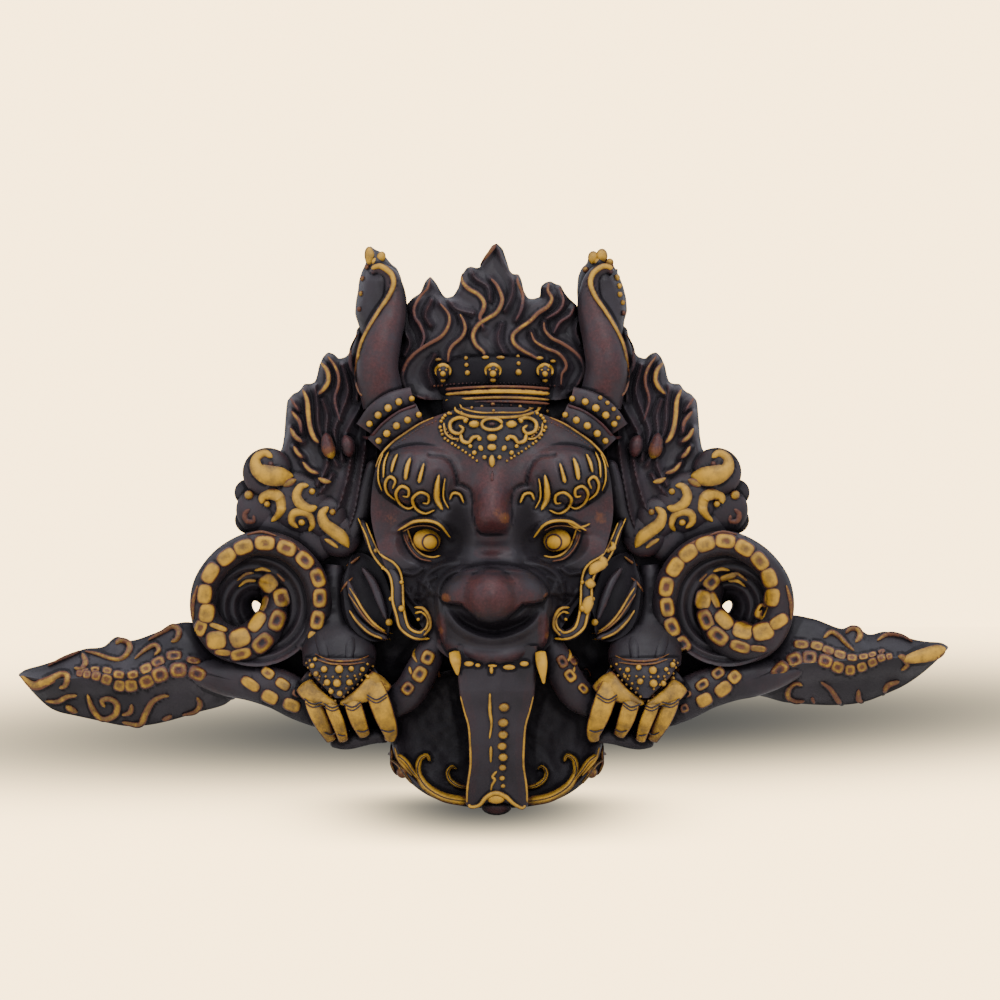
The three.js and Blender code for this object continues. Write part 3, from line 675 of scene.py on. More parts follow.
def dome(x, z, at, radii, base, height):
    """Relief of an upright half-ellipsoid: base plus height times sqrt(1 - r^2), and far below it
    outside."""
    r2 = ((x - at[0]) / radii[0]) ** 2 + ((z - at[1]) / radii[1]) ** 2
    return np.where(r2 < 1, base + height * np.sqrt(np.clip(1 - r2, 0, 1)), base - 6 * (r2 - 1))


def oval(x, z, at, radii):
    """1 in the middle of an upright ellipse, falling to 0 at its rim as 1 - r^2."""
    return np.clip(1 - ((x - at[0]) / radii[0]) ** 2 - ((z - at[1]) / radii[1]) ** 2, 0, 1)


def head_arch(x, z):
    """The bare head: an arch of power HEAD_ARCH across, over the middle line's profile."""
    share = np.clip(np.abs(x) / smooth(HEAD_WIDTH, z), 0, 1)
    return HEAD_FOOT + (smooth(HEAD_RELIEF, z) - HEAD_FOOT) * np.sqrt(1 - share**HEAD_ARCH)


def head_relief(x, z):
    """The face: the arch with brows, bulb, sockets, eyes, cheeks, nose and lip joined in by rounded maxima,
    and creases pressed in by strokes."""
    out = np.abs(x)
    face = head_arch(x, z)
    brow = dome(out, z, (27, -18.5), (20, 13), 43, 22)
    face = smooth_max(face, brow, 2.2)
    for groove in BROW_GROOVES:
        face += stroke(out, z, groove, 1.5, -1.3)
    rise = np.clip((z + 34.5) / 24, 0, 1)
    width = 9 + 6 * rise**1.5
    foot = np.sqrt(np.clip(1 - (np.minimum(z + 34.5, 0) / 7.6) ** 2, 0, 1))
    arch = np.clip(1 - (x / width) ** 2, 0, 1) ** (0.5 + 0.6 * rise)
    bulb = 48 + (24 - 14 * ease(0, 1, rise)) * foot * arch
    face = smooth_max(face, bulb, 2.6 + 3 * rise)
    face += stroke(x, z, [[-5.6, -31], [-7, -36], [-4.8, -41], [1, -42.4]], 1.1, [0, -0.9, -0.9, 0])
    face -= 7.5 * oval(out, z, (25, -45), (14, 10)) ** 1.3
    for path, half in BROW_HAIRS + [[path, [0.9]] for path in BROW_CURLS]:
        face += stroke(out, z, path, max(half) + ENGRAVED["beyond"], -ENGRAVED["depth"])
    face += stroke(out, z, [[12, -30], [13.4, -36], [13, -44], [14, -50]], 6.5, [-1, -2.6, -3, -1.6])
    face += stroke(out, z, UPPER_LID, 1.9, [0.8, 2.6, 3.4, 3.6, 3.2, 2.4, 0.8])
    face += stroke(out, z, LOWER_LID, 1.6, [1, 2.2, 2.6, 2.6, 2, 0.8])
    face += stroke(x, z, [[-9, -46.4], [0, -47.4], [9, -46.4]], 3.2, [-0.2, -1, -0.2])
    face += stroke(x, z, [[-11, -51.2], [0, -52], [11, -51.2]], 2.4, [-0.2, -0.7, -0.2])
    face += 2.8 * oval(out, z, (36, -50), (12, 9)) ** 1.5
    face += oval(out, z, (30, -66), (10, 13)) * 0.6 * grain(x, z, 3.2)
    for curl in CHEEK_CURLS:
        face += stroke(out, z, curl, 1.5, 1.7)
    recess = smooth_max(face, dome(x, z, (1, -78), (22, 20), 50, 15), 3)
    face = smooth_max(face, dome(x, z, (1, -66), (21.5, 12.5), 57, 20), 2.2)
    face = smooth_max(face, dome(x, z, (-0.4, -66.6), (11, 11.6), 62, 24), 5.0)
    edge = np.interp(x, *np.transpose(NOSE_EDGE))
    above = ease(-0.8, 1.3, z - edge)
    recess -= stroke(x, z, [[-15.6, -70.6], [-9.6, -76.6], [1, -80], [12, -76.6], [18, -70.6]], 3.4,
        [1.4, 4.4, 5, 4.4, 1.4])
    face = recess + (face - recess) * above
    face += stroke(out - np.sign(x) * LOWER_SHIFT / 4, z, NOSE_FOLD, [1.4, 1.8, 2, 2, 2, 2, 1.8],
        [0.6, 1.2, 1.8, 1.8, 1.4, 1.4, 1.2])
    face += stroke(out, z, OUTER_FOLD, 1.7, [0.4, 1.2, 1.8, 1.6, 0.4])
    face += stroke(x, z, LIP_LINE, 3.2, [0.5, 1.2, 1.7, 1.9, 1.7, 1.2, 0.5])
    face += stroke(x, z, GUM_LINE, 4.6, [1, 2, 2.7, 2.9, 2.7, 2, 1])
    return face


HEAD_TOUCHES = [
    # x, z, radius, how gilt
    [-18.2, -66.8, 2.6, 0.42], [5.2, -35, 3, 0.5], [-20.6, -80, 2.2, 0.35], [22.6, -82, 2, 0.5],
     [43, -35, 4, 0.34],
    [-33.4, -43, 2.6, 0.4], [34, -42.6, 2.4, 0.36], [-40, -36, 4, 0.26], [22, -66, 2, 0.3],
     [2, -33, 3, 0.25],
]


def head_touches(x, z):
    """Faint touches of gold on the highest swells: level times (1 - r^2) round each place."""
    gilt = np.zeros(x.shape)
    for at_x, at_z, radius, level in HEAD_TOUCHES:
        gilt = np.maximum(gilt, level * np.clip(1 - ((x - at_x) ** 2 + (z - at_z) ** 2) / radius**2, 0, 1))
    return gilt


RUBBED_MIDDLE = [
    # middle, radii, how far the dark is rubbed back
    [(0, -8), (44, 22), 0.55], [(0, -28), (10, 20), 0.9], [(0, -35), (9, 9), 1.0],
     [(0, -64), (20, 11), 0.85],
    [(0, -66), (11, 11), 1.0], [(1, -49), (9, 3.4), 0.7],
]
RUBBED_PAIRS = [
    # as above, on both sides
    [(40, -32), (9, 16), 0.6], [(37, -46), (10, 10), 0.7], [(20.4, -80), (2.6, 8), 0.8],
]
PAINTED_FACE_SHADE = [
    # painted shade in the sockets and recesses: middle, radii, how dark, on both sides
    [(24, -47), (17, 12), 0.8], [(13, -40), (7, 16), 0.8], [(34, -66), (14, 20), 0.8],
     [(0, -56), (15, 5), 0.5], [(0, -78), (19, 8), 0.7],
    [(20, -58), (12, 8), 0.7], [(44, -12), (10, 16), 0.5],
]


def head_rub(x, z):
    """How far the dark is rubbed back: most on the bulb, nose and lip, some on the brow and forehead."""
    out = np.abs(x)

    rub = np.zeros(x.shape)
    for at, radii, level in RUBBED_MIDDLE:
        rub = np.maximum(rub, level * oval(x, z, at, radii) ** 0.5)
    for at, radii, level in RUBBED_PAIRS:
        rub = np.maximum(rub, level * oval(out, z, at, radii) ** 0.5)
    lip = stroke(x, z, GUM_LINE, 4.6, 0.5) + stroke(x, z, LIP_LINE, 3, 0.12)
    jewel = np.clip(1.3 - ((x - 0.4) / 21) ** 2 - ((z - 3) / 14) ** 2, 0, 1)
    rub = rub * (1 - ease(0.1, 0.5, jewel))
    # Painted shade, as a rub below 0: in the eye sockets, beside the nose, on the cheeks, under the bulb,
    # in the mouth's recess and at the temples
    painted_shade = np.zeros(x.shape)
    for at, radii, level in PAINTED_FACE_SHADE:
        painted_shade = np.maximum(painted_shade, level * oval(out, z, at, radii))
    return np.maximum(rub, lip) - painted_shade


def hollow_reach(c, s):
    """How many times the vector (c, s) from the hollow's middle reaches its rim, a superellipse."""
    p = HOLLOW["power"]
    return (np.abs(c / HOLLOW["half_width"]) ** p + np.abs(s / HOLLOW["half_height"]) ** p) ** (-1 / p)


def hollow_relief(share):
    """Relief of the hollow's roof at a share of the way from its middle to its rim: depth (1 -
    share^p)^(1/p)."""
    return HOLLOW["depth"] * np.clip(1 - share ** HOLLOW["power"], 0, 1) ** (1 / HOLLOW["power"])


FACE_GRID = (270, 250)
FACE_LOWEST = 16  # relief below which the front never falls
ROOF_SHARES = (1.0, 0.985, 0.93, 0.82, 0.62, 0.36, 0.12)


def model_head():
    """Front: a grid of rows down and columns across, closest at the sides. Behind: rings that run from the
    front's edge to the rim of the hollow and on over its roof."""
    clay = Clay()
    rows, columns = FACE_GRID
    z = np.linspace(HEAD_WIDTH[0][0], HEAD_WIDTH[-1][0], rows)[:, None] + np.zeros((1, columns))
    sweep_across = np.linspace(-1, 1, columns)[None, :]
    share = 0.55 * np.sin(sweep_across * np.pi / 2) + 0.45 * sweep_across
    x = share * smooth(HEAD_WIDTH, z)
    relief = np.maximum(head_relief(x, z), FACE_LOWEST)
    relief[:, [0, -1]] = np.minimum(relief[:, [0, -1]], HEAD_FOOT)
    face = np.stack([x, z, relief], -1)
    front.press(face)
    rim = np.concatenate([
        np.arange(columns), np.arange(1, rows) * columns + columns - 1,
        (rows - 1) * columns + np.arange(columns - 2, -1, -1), np.arange(rows - 2, 0, -1) * columns])
    points = face.reshape(-1, 3)
    edge = points[rim]
    c, s = edge[:, 0], edge[:, 1] - HOLLOW["z"]
    scale = hollow_reach(c, s)
    around = len(rim)
    rings = [np.column_stack([edge[:, 0], edge[:, 1], np.full(around, BACK)])]
    for out_share in ROOF_SHARES:
        reach = scale * out_share
        lift = np.maximum(BACK, hollow_relief(out_share)) * np.ones(around)
        rings.append(np.column_stack([c * reach, HOLLOW["z"] + s * reach, lift]))
    behind = np.vstack(rings)
    total = rows * columns
    cell = (np.arange(rows - 1)[:, None] * columns + np.arange(columns - 1)[None, :]).ravel()
    quads = [np.column_stack([cell, cell + columns, cell + columns + 1, cell + 1])]
    here = np.arange(around)
    after = (here + 1) % around
    ring_start = [None] + [total + k * around for k in range(len(rings))]
    for k in range(len(rings)):
        upper = rim if k == 0 else ring_start[k] + here
        upper_after = rim[after] if k == 0 else ring_start[k] + after
        lower = ring_start[k + 1] + here
        lower_after = ring_start[k + 1] + after
        quads.append(np.column_stack([upper, upper_after, lower_after, lower]))
    middle = total + len(rings) * around
    last = ring_start[-1]
    triangles = np.column_stack([last + after, np.full(around, middle), last + here])
    points = np.vstack([points, behind, [[0, HOLLOW["z"], HOLLOW["depth"]]]])
    rub = np.concatenate([head_rub(x, z).ravel(), np.zeros(len(behind) + 1)])
    gilt = np.concatenate([head_touches(x, z).ravel(), np.zeros(len(behind) + 1)])
    clay.take(points, np.vstack(quads), triangles, gilt, rub)
    return clay.cast("head")


# Fine work on the face

BROW_HAIRS = [
    # route, half-widths
    [[[41.2, -8.8], [42.8, -13.2], [43.2, -19.2]], [0.35, 0.6, 0.4]],
    [[[43.4, -9.4], [45, -14.2], [45.2, -20], [43.8, -24.4]], [0.35, 0.5, 0.5, 0.3]],
    [[[37.6, -9.6], [39, -13], [40, -17]], [0.4, 0.95, 0.6]],
    [[[32.4, -11.2], [33.6, -15], [34.4, -20]], [0.5, 1.2, 1.0]],
    [[[27, -13.4], [28, -17], [29, -21.2]], [0.4, 0.9, 1.1]],
    [[[21, -18], [21.8, -22.6], [21.8, -27.6], [19.6, -32]], [0.5, 1.4, 1.6, 0.7]],
    [[[18.6, -19.4], [19.2, -23], [19.2, -27.4], [17.2, -31.4]], [0.3, 0.5, 0.5, 0.35]],
]
BROW_CURLS = [
    [[16.8, -28], [15.6, -25.4], [12.8, -25.8], [11.2, -29.2]],
    [[38.2, -28.2], [41.6, -25.2], [42.4, -21.4], [40.6, -18.8], [38.4, -20.4], [39.6, -23.6]],
    [[35.6, -26.4], [33.4, -26.6], [33.2, -23.8], [36, -22.6], [38.2, -25.4], [36.8, -29.2], [33.4, -31.4],
     [30.2, -30]],
    [[27.6, -29.2], [25.4, -29.2], [25.4, -26.2], [28.6, -25], [31.6, -27.6], [30.2, -31.4], [26.6, -33.4],
     [22.8, -32]],
]
FOREHEAD_LINE = [[46.4, -15], [44.2, -10], [39.6, -5], [34.4, -1.2], [28.8, 2.4], [23, 5]]
EYE = {"x": 25.8, "z": -43.8, "half_width": 5.8, "half_height": 4.8, "relief": 45.5, "height": 8}
IRIS = {"x": 24.6, "z": -44.8, "radius": 3.2}
EYELID_LINES = [
    # route, half-widths, gilt
    [[[37.6, -40.2], [34.8, -38.6], [31.6, -36.8], [27.6, -36.2], [23.6, -36.6], [20.2, -38.4],
     [16.6, -43]], [0.3, 0.55, 0.7, 0.7, 0.7, 0.6, 0.35], 0.95],
    [[[35.6, -40.6], [32, -38.8], [28, -38.1], [24, -38.5], [20.8, -40.2]], [0.3, 0.4, 0.4, 0.4, 0.3], 0.6],
    [[[33.6, -39.8], [32.6, -42.8], [30.8, -46.8], [28, -49.6], [24.2, -50.8], [20.6, -50.2]],
     [0.35, 0.5, 0.55, 0.55, 0.5, 0.35], 0.9],
    [[[35.2, -41.4], [34, -45], [31.6, -48.8], [28.4, -51.4], [24, -52.4]], [0.25, 0.35, 0.4, 0.4, 0.3],
     0.4],
]
CREST_OF_EAR = [
    [[53.6, -35.2], [50.4, -42], [48, -48.8], [44.8, -53.6], [41.2, -57.2], [39.8, -62], [39.6, -68],
     [38, -74], [36.4, -79.2], [31, -83], [24.8, -83.2]],
    [[50.4, -37], [47.6, -43.6], [44.4, -49.6], [39.2, -53], [36.6, -56.6], [35.6, -62], [35.4, -68],
     [34.8, -73.4], [33, -78.8], [29, -80.8], [26.2, -79], [25.6, -75.4], [28, -72.6], [30.8, -73.2]],
]
CREST_KNOBS = [[46.2, -48.2, 1.4], [43.4, -55, 1.2], [36, -60.8, 1.3], [40.2, -67.4, 1.3], [36, -71.2, 1.9],
    [41, -76.8, 2.1], [29.4, -75.6, 1.0]]
HOOK = [[31, -70.8], [27.4, -71.2], [25, -74.4], [24.6, -78.6], [27.2, -82]]


def model_brows():
    """Gilt hairs and curls of the brows, and a beaded line over each temple."""
    clay = Clay()
    for side in SIDES:
        for path, half in BROW_HAIRS:
            wire(clay, path, 0.85 * np.array(half), side=side, lift=0.8, span=3, tall=1.3, rub=0.5)
        for path in BROW_CURLS:
            wire(clay, path, [0.4, 0.65, 0.7, 0.65, 0.4], side=side, lift=0.75, span=3, tall=1.3, rub=0.5,
                gold=0.95)
        wire(clay, FOREHEAD_LINE, [0.35, 0.5, 0.55, 0.5, 0.35], side=side, lift=0.25,
            gold=[0.6, 0.75, 0.7, 0.6, 0.5], rub=0.6)
        row_of_beads(clay, [[x - 0.6, z - 1.6] for x, z in FOREHEAD_LINE], 26, 0.36, side=side, gold=0.3,
            rub=0.5, around=6, up=3)
    return clay.cast("brows")


def model_eyes():
    """Domed eyeballs, gilt, each with an iris that a dark line rings, between fine lid lines."""
    clay = Clay()
    a = full_turn(40)

    def ball(x, z):
        across = (x - EYE["x"]) / (1.12 * EYE["half_width"])
        up = (z - EYE["z"]) / (1.12 * EYE["half_height"])
        r2 = across**2 + up**2
        return EYE["relief"] + EYE["height"] * np.sqrt(np.clip(1 - r2, 0.01, 1))

    for side in SIDES:
        share = np.array([0.02, 0.3, 0.55, 0.75, 0.9, 0.97, 1.0])[:, None]
        x = EYE["x"] + share * EYE["half_width"] * np.cos(a)
        z = EYE["z"] + share * EYE["half_height"] * np.sin(a)
        relief = ball(x, z)
        relief[-1] -= 5
        clay.add(np.stack([side * x, z, relief], -1), (1 - 0.7 * ease(0.88, 1.0, share)) + 0 * a,
            0.5 + 0 * x)
        front.press(np.stack([side * x[:-1], z[:-1], relief[:-1]], -1))
        share = np.array([0.02, 0.4, 0.7, 0.82, 0.88, 0.95, 1.0, 1.08, 1.16, 1.2])[:, None]
        x = IRIS["x"] + share * IRIS["radius"] * np.cos(a)
        z = IRIS["z"] + share * IRIS["radius"] * np.sin(a)
        up = np.array([0.75, 0.7, 0.55, 0.42, 0.2, 0.08, 0.08, 0.2, 0.12, -1])[:, None]
        gilt = np.array([1, 1, 1, 0.9, 0.2, 0.0, 0.0, 0.6, 1, 1])[:, None]
        clay.add(np.stack([side * x, z, ball(x, z) + up], -1), gilt + 0 * a, 0.4 + 0 * x)
        for path, half, gold in EYELID_LINES:
            wire(clay, path, half, side=side, lift=0.25, span=3, gold=gold, rub=0.5)
    wire(clay, [[30, -36.8], [33.6, -38.8], [36.4, -38.6], [39.2, -37.4]], [0.3, 0.6, 0.5, 0.3], side=RIGHT,
        lift=0.25, gold=0.9, rub=0.5)
    return clay.cast("eyes")


# Teeth

SMALL_TEETH = [[-9.2, -93, 2.1, 1.1], [-5.6, -93.6, 1.1, 0.8], [-0.2, -95.4, 0.8, 1.7],
    [0.2, -93.8, 1.9, 0.6], [6.8, -94.4, 2.6, 1.1], [12.8, -93, 1.9, 1.1]]


def model_teeth():
    """Two fangs that taper down from under the lip, and four small teeth between them."""
    clay = Clay()
    for side, x, top, length, lean in ((LEFT, 14.4, -88, 9.6, 1.6), (RIGHT, 19.8, -88, 13, -1.6)):
        path = [[x + 0.4 * lean, top, 64], [x, top - 0.4 * length, 68], [x - 0.5 * lean, top - length, 66]]
        sweep(clay, path, [2.2, 2.3, 0.5], [2.4, 2.4, 0.8], side=side, deep=5, gold=1, ends=0.8, step=0.5,
            press=False)
    for x, z, half, tall in SMALL_TEETH:
        bead(clay, x, z, tall, long=half / tall, tall=0.9, relief=65, gold=0.9, rub=0.5, around=12, up=6)
    sweep(clay, [[-14, -91, 58], [1, -95.6, 60], [17, -91, 58]], 5, 3, deep=30, press=False)
    return clay.cast("teeth")


# Crown

def model_crown():
    """A band with skulls, bars and small finials, and the bead row beneath it."""
    clay = Clay()
    band = [[-23.4, 20, 31], [-12, 20.6, 37], [0, 20.8, 39], [13, 20.6, 37], [25.4, 20, 31]]
    # Painted shade, as a rub below 0, darkens the band behind the skulls and the band under the bars
    sweep(clay, band, [7, 8.4, 8.6, 8.4, 7], 4, step=0.9, ends=3, rub=-0.9)
    lower = [[-20, 9.6, 42], [-12, 9.2, 48], [0, 9, 50.5], [12, 9.2, 48], [22, 9.6, 42]]
    sweep(clay, lower, 5, 4, step=0.9, ends=3, rub=-0.6)
    row_of_beads(clay, [[-23, 17.6], [-12, 18.4], [0, 18.6], [13, 18.4], [25, 17.6]], 30, 0.6, lift=0.2,
        gold=0.3, rub=0.7, around=8, up=4)
    bar = [[-18.6, 14.2], [-9, 14.8], [2, 15.2], [14, 15], [23, 14.4]]
    wire(clay, bar, [0.6, 1.0, 1.1, 1.1, 0.8], relief=[41, 46.4, 48.8, 46.4, 41.4], rub=0.6,
        gold=[0.6, 0.85, 0.95, 1, 0.85], tall=1.2)
    wire(clay, [[x, z + 2] for x, z in bar], 0.6, relief=[40, 45.6, 48, 45.6, 40.4],
        gold=[0.2, 0.4, 0.5, 0.4, 0.2], rub=0.9)
    for drop, gold in ((2.4, 0.65), (4, 0.35)):
        wire(clay, [[x, z - drop] for x, z in bar], [0.4, 0.7, 0.7, 0.7, 0.4],
            relief=[42, 47.6, 50, 47.6, 42.6], gold=gold, rub=0.8)
    for x, tall in ((-19.6, 1.0), (0.4, 1.15), (21.2, 1.0)):
        bead(clay, x, 23, 2.7, long=1.2 * tall, turn=90, tall=1.3, lift=1.4, gold=0.0, press=True,
            around=16, up=8)
        arch = [[x - 2.6, 21.8], [x - 2.7, 24.4], [x, 26], [x + 2.7, 24.4], [x + 2.6, 21.8]]
        wire(clay, arch, [0.5, 0.8, 0.95, 0.8, 0.5], lift=0.35, span=3, rub=0.5)
        bead(clay, x, 22.4, 1.3 * tall, lift=0.7, rub=0.8, gold=0.8)
        for turn in (-1, 1):
            bead(clay, x + 1.3 * turn, 24, 0.55, lift=0.3, gold=0.7)
        bead(clay, x, 19.8, 0.9 * tall, long=1.3, lift=0.4, gold=0.8, rub=0.5)
    wire(clay, [[-3.6, 17.6], [0.4, 16.8], [4.4, 17.6]], 0.6, lift=0.3)
    for x, z, r in ((-10.4, 28.8, 1.1), (-10.2, 26, 1.2), (-9.8, 22.8, 1.5), (10.4, 29.4, 1.1),
            (10.6, 26.6, 1.2), (10.6, 23, 1.8)):
        bead(clay, x, z, 0.8 * r, lift=0.3, gold=0.75, rub=0.6)
    for x, z, half in ((-21.6, 28.2, 2.6), (-2.6, 29, 2.4), (3.4, 29, 2.8), (19, 28.8, 2.6),
            (24.4, 27.6, 2.0)):
        bead(clay, x, z, 0.8, long=half / 1.2, lift=0.4, gold=0.7, rub=0.7)
    for x, z, r in ((-16.4, 6.4, 0.8), (-12.2, 6.8, 0.9), (-8, 8.8, 0.8), (-4, 9.2, 0.9), (0.4, 9.8, 1.5),
            (0.6, 7.6, 0.8), (4, 9.6, 0.9),
                    (7.6, 9.6, 0.9), (11.2, 9.2, 1.0), (15.2, 8.4, 1.0), (18.6, 8.4, 1.1), (22, 7.4, 1.1)):
        bead(clay, x, z, 0.8 * r, lift=0.35, gold=0.65, rub=0.7)
    return clay.cast("crown")


JEWEL_FINE = 0.68


def model_forehead_jewel():
    """A drop-shaped plate on the forehead: a rim, rows of curls, blocks and beads, and a hanging drop."""
    clay = Clay()

    def line(path, half, **how):
        wire(clay, path, JEWEL_FINE * np.array(half), **how)

    def knob(x, z, radius, **how):
        bead(clay, x, z, 0.5 * (1 + JEWEL_FINE) * radius, **how)

    line([[-14.8, 9.2], [-14, 7.4], [-8, 5.2], [1, 4.8], [10, 5.2], [17, 7.0], [19.6, 9]],
        [0.5, 0.9, 1, 1, 1, 0.9, 0.5], lift=0.5, gold=0.8, rub=0.3)
    line([[-12.8, 10.2], [-11.4, 8.4], [-4.8, 6.8], [4, 6.8], [12, 7], [16.6, 8.8]], 0.6, lift=0.4,
        gold=0.7)
    for x0 in (-13.6, 14.6):
        turn = 1 if x0 < 0 else -1
        curl = [[x0 + turn * 4.4, 4], [x0 + turn * 0.6, 4.8], [x0 - turn * 2.8, 3], [x0 - turn * 2.6, -0.4],
            [x0 + turn * 0.6, -1.6], [x0 + turn * 2.2, 0.4], [x0 + turn * 0.4, 1.8]]
        line(curl, [1.0, 1.2, 1.3, 1.2, 1.1, 0.8], lift=0.5, span=3)
        line([[x0 - turn * 5.6, 2.8], [x0 - turn * 5, -1], [x0 - turn * 2.6, -3.4],
            [x0 + turn * 0.6, -3.8]], 0.7, lift=0.4, gold=0.85)
        knob(x0 + turn * 3.2, 3.6, 1.4, lift=0.4)
    for x in (-6.8, 7.6):
        knob(x, 2.2, 1.9, long=1.6, lift=0.3, tall=0.9)
    ring = [[4.0 * math.cos(a), 2.2 + 2.3 * math.sin(a)] for a in np.linspace(0, 2 * math.pi, 13)]
    line(ring, 1.15, lift=0.6, span=3)
    knob(0, 2.2, 1.2, long=1.5, lift=0.1, gold=0.2, rub=0.6)
    for turn in (-1, 1):
        shift = 0 if turn < 0 else 1.2
        x0 = turn * 12.4 + shift
        line([[x0, -1.6], [x0 - turn * 0.6, -4.4], [x0 - turn * 3.2, -5.2], [x0 - turn * 4.8, -3.2],
            [x0 - turn * 7.6, -2.6]], [1.1, 1.3, 1.2, 1.3, 0.9], lift=0.5, span=3)
        knob(x0 - turn * 3.8, -6.6, 1.1, lift=0.3)
        knob(x0 - turn * 7.4, -3.6, 1.2, lift=0.3)
        knob(turn * 4.6 + 0.2, -7.4, 1.2, long=1.3, turn=60 * turn, lift=0.3)
        knob(turn * 7.4 + 0.4, -9.2, 1.2, lift=0.3, gold=0.9, rub=0.5)
        knob(turn * 3, -11, 1.1, lift=0.3, gold=0.9)
        path = [[turn * 21 + 0.4, 1], [turn * 19, -3.2], [turn * 14.8 + 0.4, -6.4], [turn * 10 + 0.4, -9.6],
            [turn * 6, -12.4]]
        row_of_beads(clay, path, 13, [0.8, 0.65, 0.6], lift=0.25, gold=0.8, rub=0.4, around=8, up=4)
        row_of_beads(clay, [[turn * 20.6 + 0.4, 3.4], [turn * 19.4 + 0.4, 5.4], [turn * 17.6 + 0.4, 6.6]],
            4, 0.8, lift=0.3, gold=0.85, around=8, up=4)
        row_of_beads(clay, [[turn * 18.8, 0.8], [turn * 17, -2], [turn * 13.6, -4.4]], 7, 0.6, lift=0.25,
            gold=0.6, rub=0.5, around=8, up=4)
    for z, r, long in ((-3.2, 1.9, 1.35), (-7, 1.7, 1.35)):
        knob(0, z, r, long=long, lift=0.4, tall=0.9, around=12)
    knob(0, -12.6, 1.5, long=2.1, turn=90, lift=0.5, around=12, rub=0.5)
    line([[0.2, -16.6], [0.1, -18.6], [0, -20.4]], 0.8, lift=0.1, gold=0.15, rub=1.0)
    return clay.cast("forehead_jewel")


# Horns

HORN = [[43, 10, 42], [45.8, 24, 44], [44, 36, 42], [40.8, 46, 37], [39.4, 54, 33], [41, 61.6, 31],
    [45.4, 64.4, 30], [48.4, 63, 29]]
HORN_HALF = [8.8, 8.4, 7.8, 6.4, 4.8, 3.4, 2.4, 1.2]
HORN_LEAF_RIM = {
    LEFT: [
        [52.8, 38], [53.6, 42], [55.2, 46.8], [54.8, 52], [54, 56], [53.6, 60], [52.4, 64], [50.8, 67.2],
         [50.2, 71], [49.2, 74.6],
        [47.2, 72.8], [44.8, 72], [42.6, 69.6], [40.4, 66.8], [38.2, 65.4], [36.6, 61.6], [35.8, 56],
         [35.2, 49.6], [36, 42]],
    RIGHT: [
        [52.8, 38], [53.2, 44], [54.4, 48], [54, 53.2], [52.8, 58], [51.2, 62], [49.2, 66], [46.8, 68],
         [45.8, 70.4], [43.6, 72],
        [42, 71.4], [40.2, 72], [38.8, 70], [38.2, 67.2], [36, 65.4], [34.6, 62], [34.2, 56], [34.6, 50],
         [36, 42]],
}
HORN_LEAF_ROOT = [[44.4, 40], [44.2, 50], [44.2, 58], [44.8, 62], [45.4, 62], [46, 58], [46, 50],
    [45.8, 42]]
HORN_LUMPS = {
    LEFT: [[52.6, 54.8, 1.2, 0.6], [52, 60.8, 1.2, 0.5], [50, 65.4, 1.2, 0.55], [53.2, 48.6, 1.2, 0.3],
        [38.6, 61.6, 1.1, 0.2], [37.4, 57, 1.1, 0.15],
           [41.4, 65.6, 1.1, 0.4], [37, 51, 1.1, 0.1]],
    RIGHT: [[47.6, 65.4, 1.5, 0.8], [50, 61.2, 1.5, 0.9], [51, 57.8, 1.3, 0.85], [51.2, 54.4, 1.3, 0.85],
    [52.4, 51.2, 1.2, 0.6], [37.6, 64.4, 1.4, 0.7],
            [52.6, 47, 1.2, 0.3], [36.2, 58, 1.1, 0.2], [36, 52, 1.1, 0.15]],
}
HORN_TIPS = {
    # x, z, radius, length in radii, turn, relief
    LEFT: [[49, 69.6, 2.2, 1.9, 82, 22], [44.6, 69.2, 1.9, 1.4, 110, 23], [46.8, 67.4, 1.6, 1.2, 90, 24]],
    RIGHT: [[40.6, 69.2, 2.2, 1.25, 90, 23], [44, 69.8, 2.4, 1.3, 85, 23], [47, 67, 1.7, 1.2, 60, 23],
    [42.4, 67.4, 1.5, 1.2, 90, 24]],
}
HORN_LINE = [[52, 13.6], [53.8, 17.2], [54.4, 21.6], [53.8, 28], [52.4, 34.4], [49.6, 40.4], [45.4, 47.4],
    [41.4, 53.4], [39.4, 58.4], [40.4, 62.6], [44.6, 65.6], [48.4, 64.8]]
HORN_BANDS = [
    [[[50.6, 0, 41], [46, 6.4, 46], [39.6, 10.8, 48], [31.6, 13, 44]],
     [[48.8, 2.4], [45.2, 6], [40.6, 9.2], [35.6, 11.8], [32, 12.4]], 5],
    [[[46.6, -6.4, 43], [41.4, -1, 48], [35, 3.6, 50], [28.6, 6.6, 47]],
     [[45.2, -4.4], [42, -1.6], [38, 1.6], [33.2, 4], [29.2, 6]], 5],
]


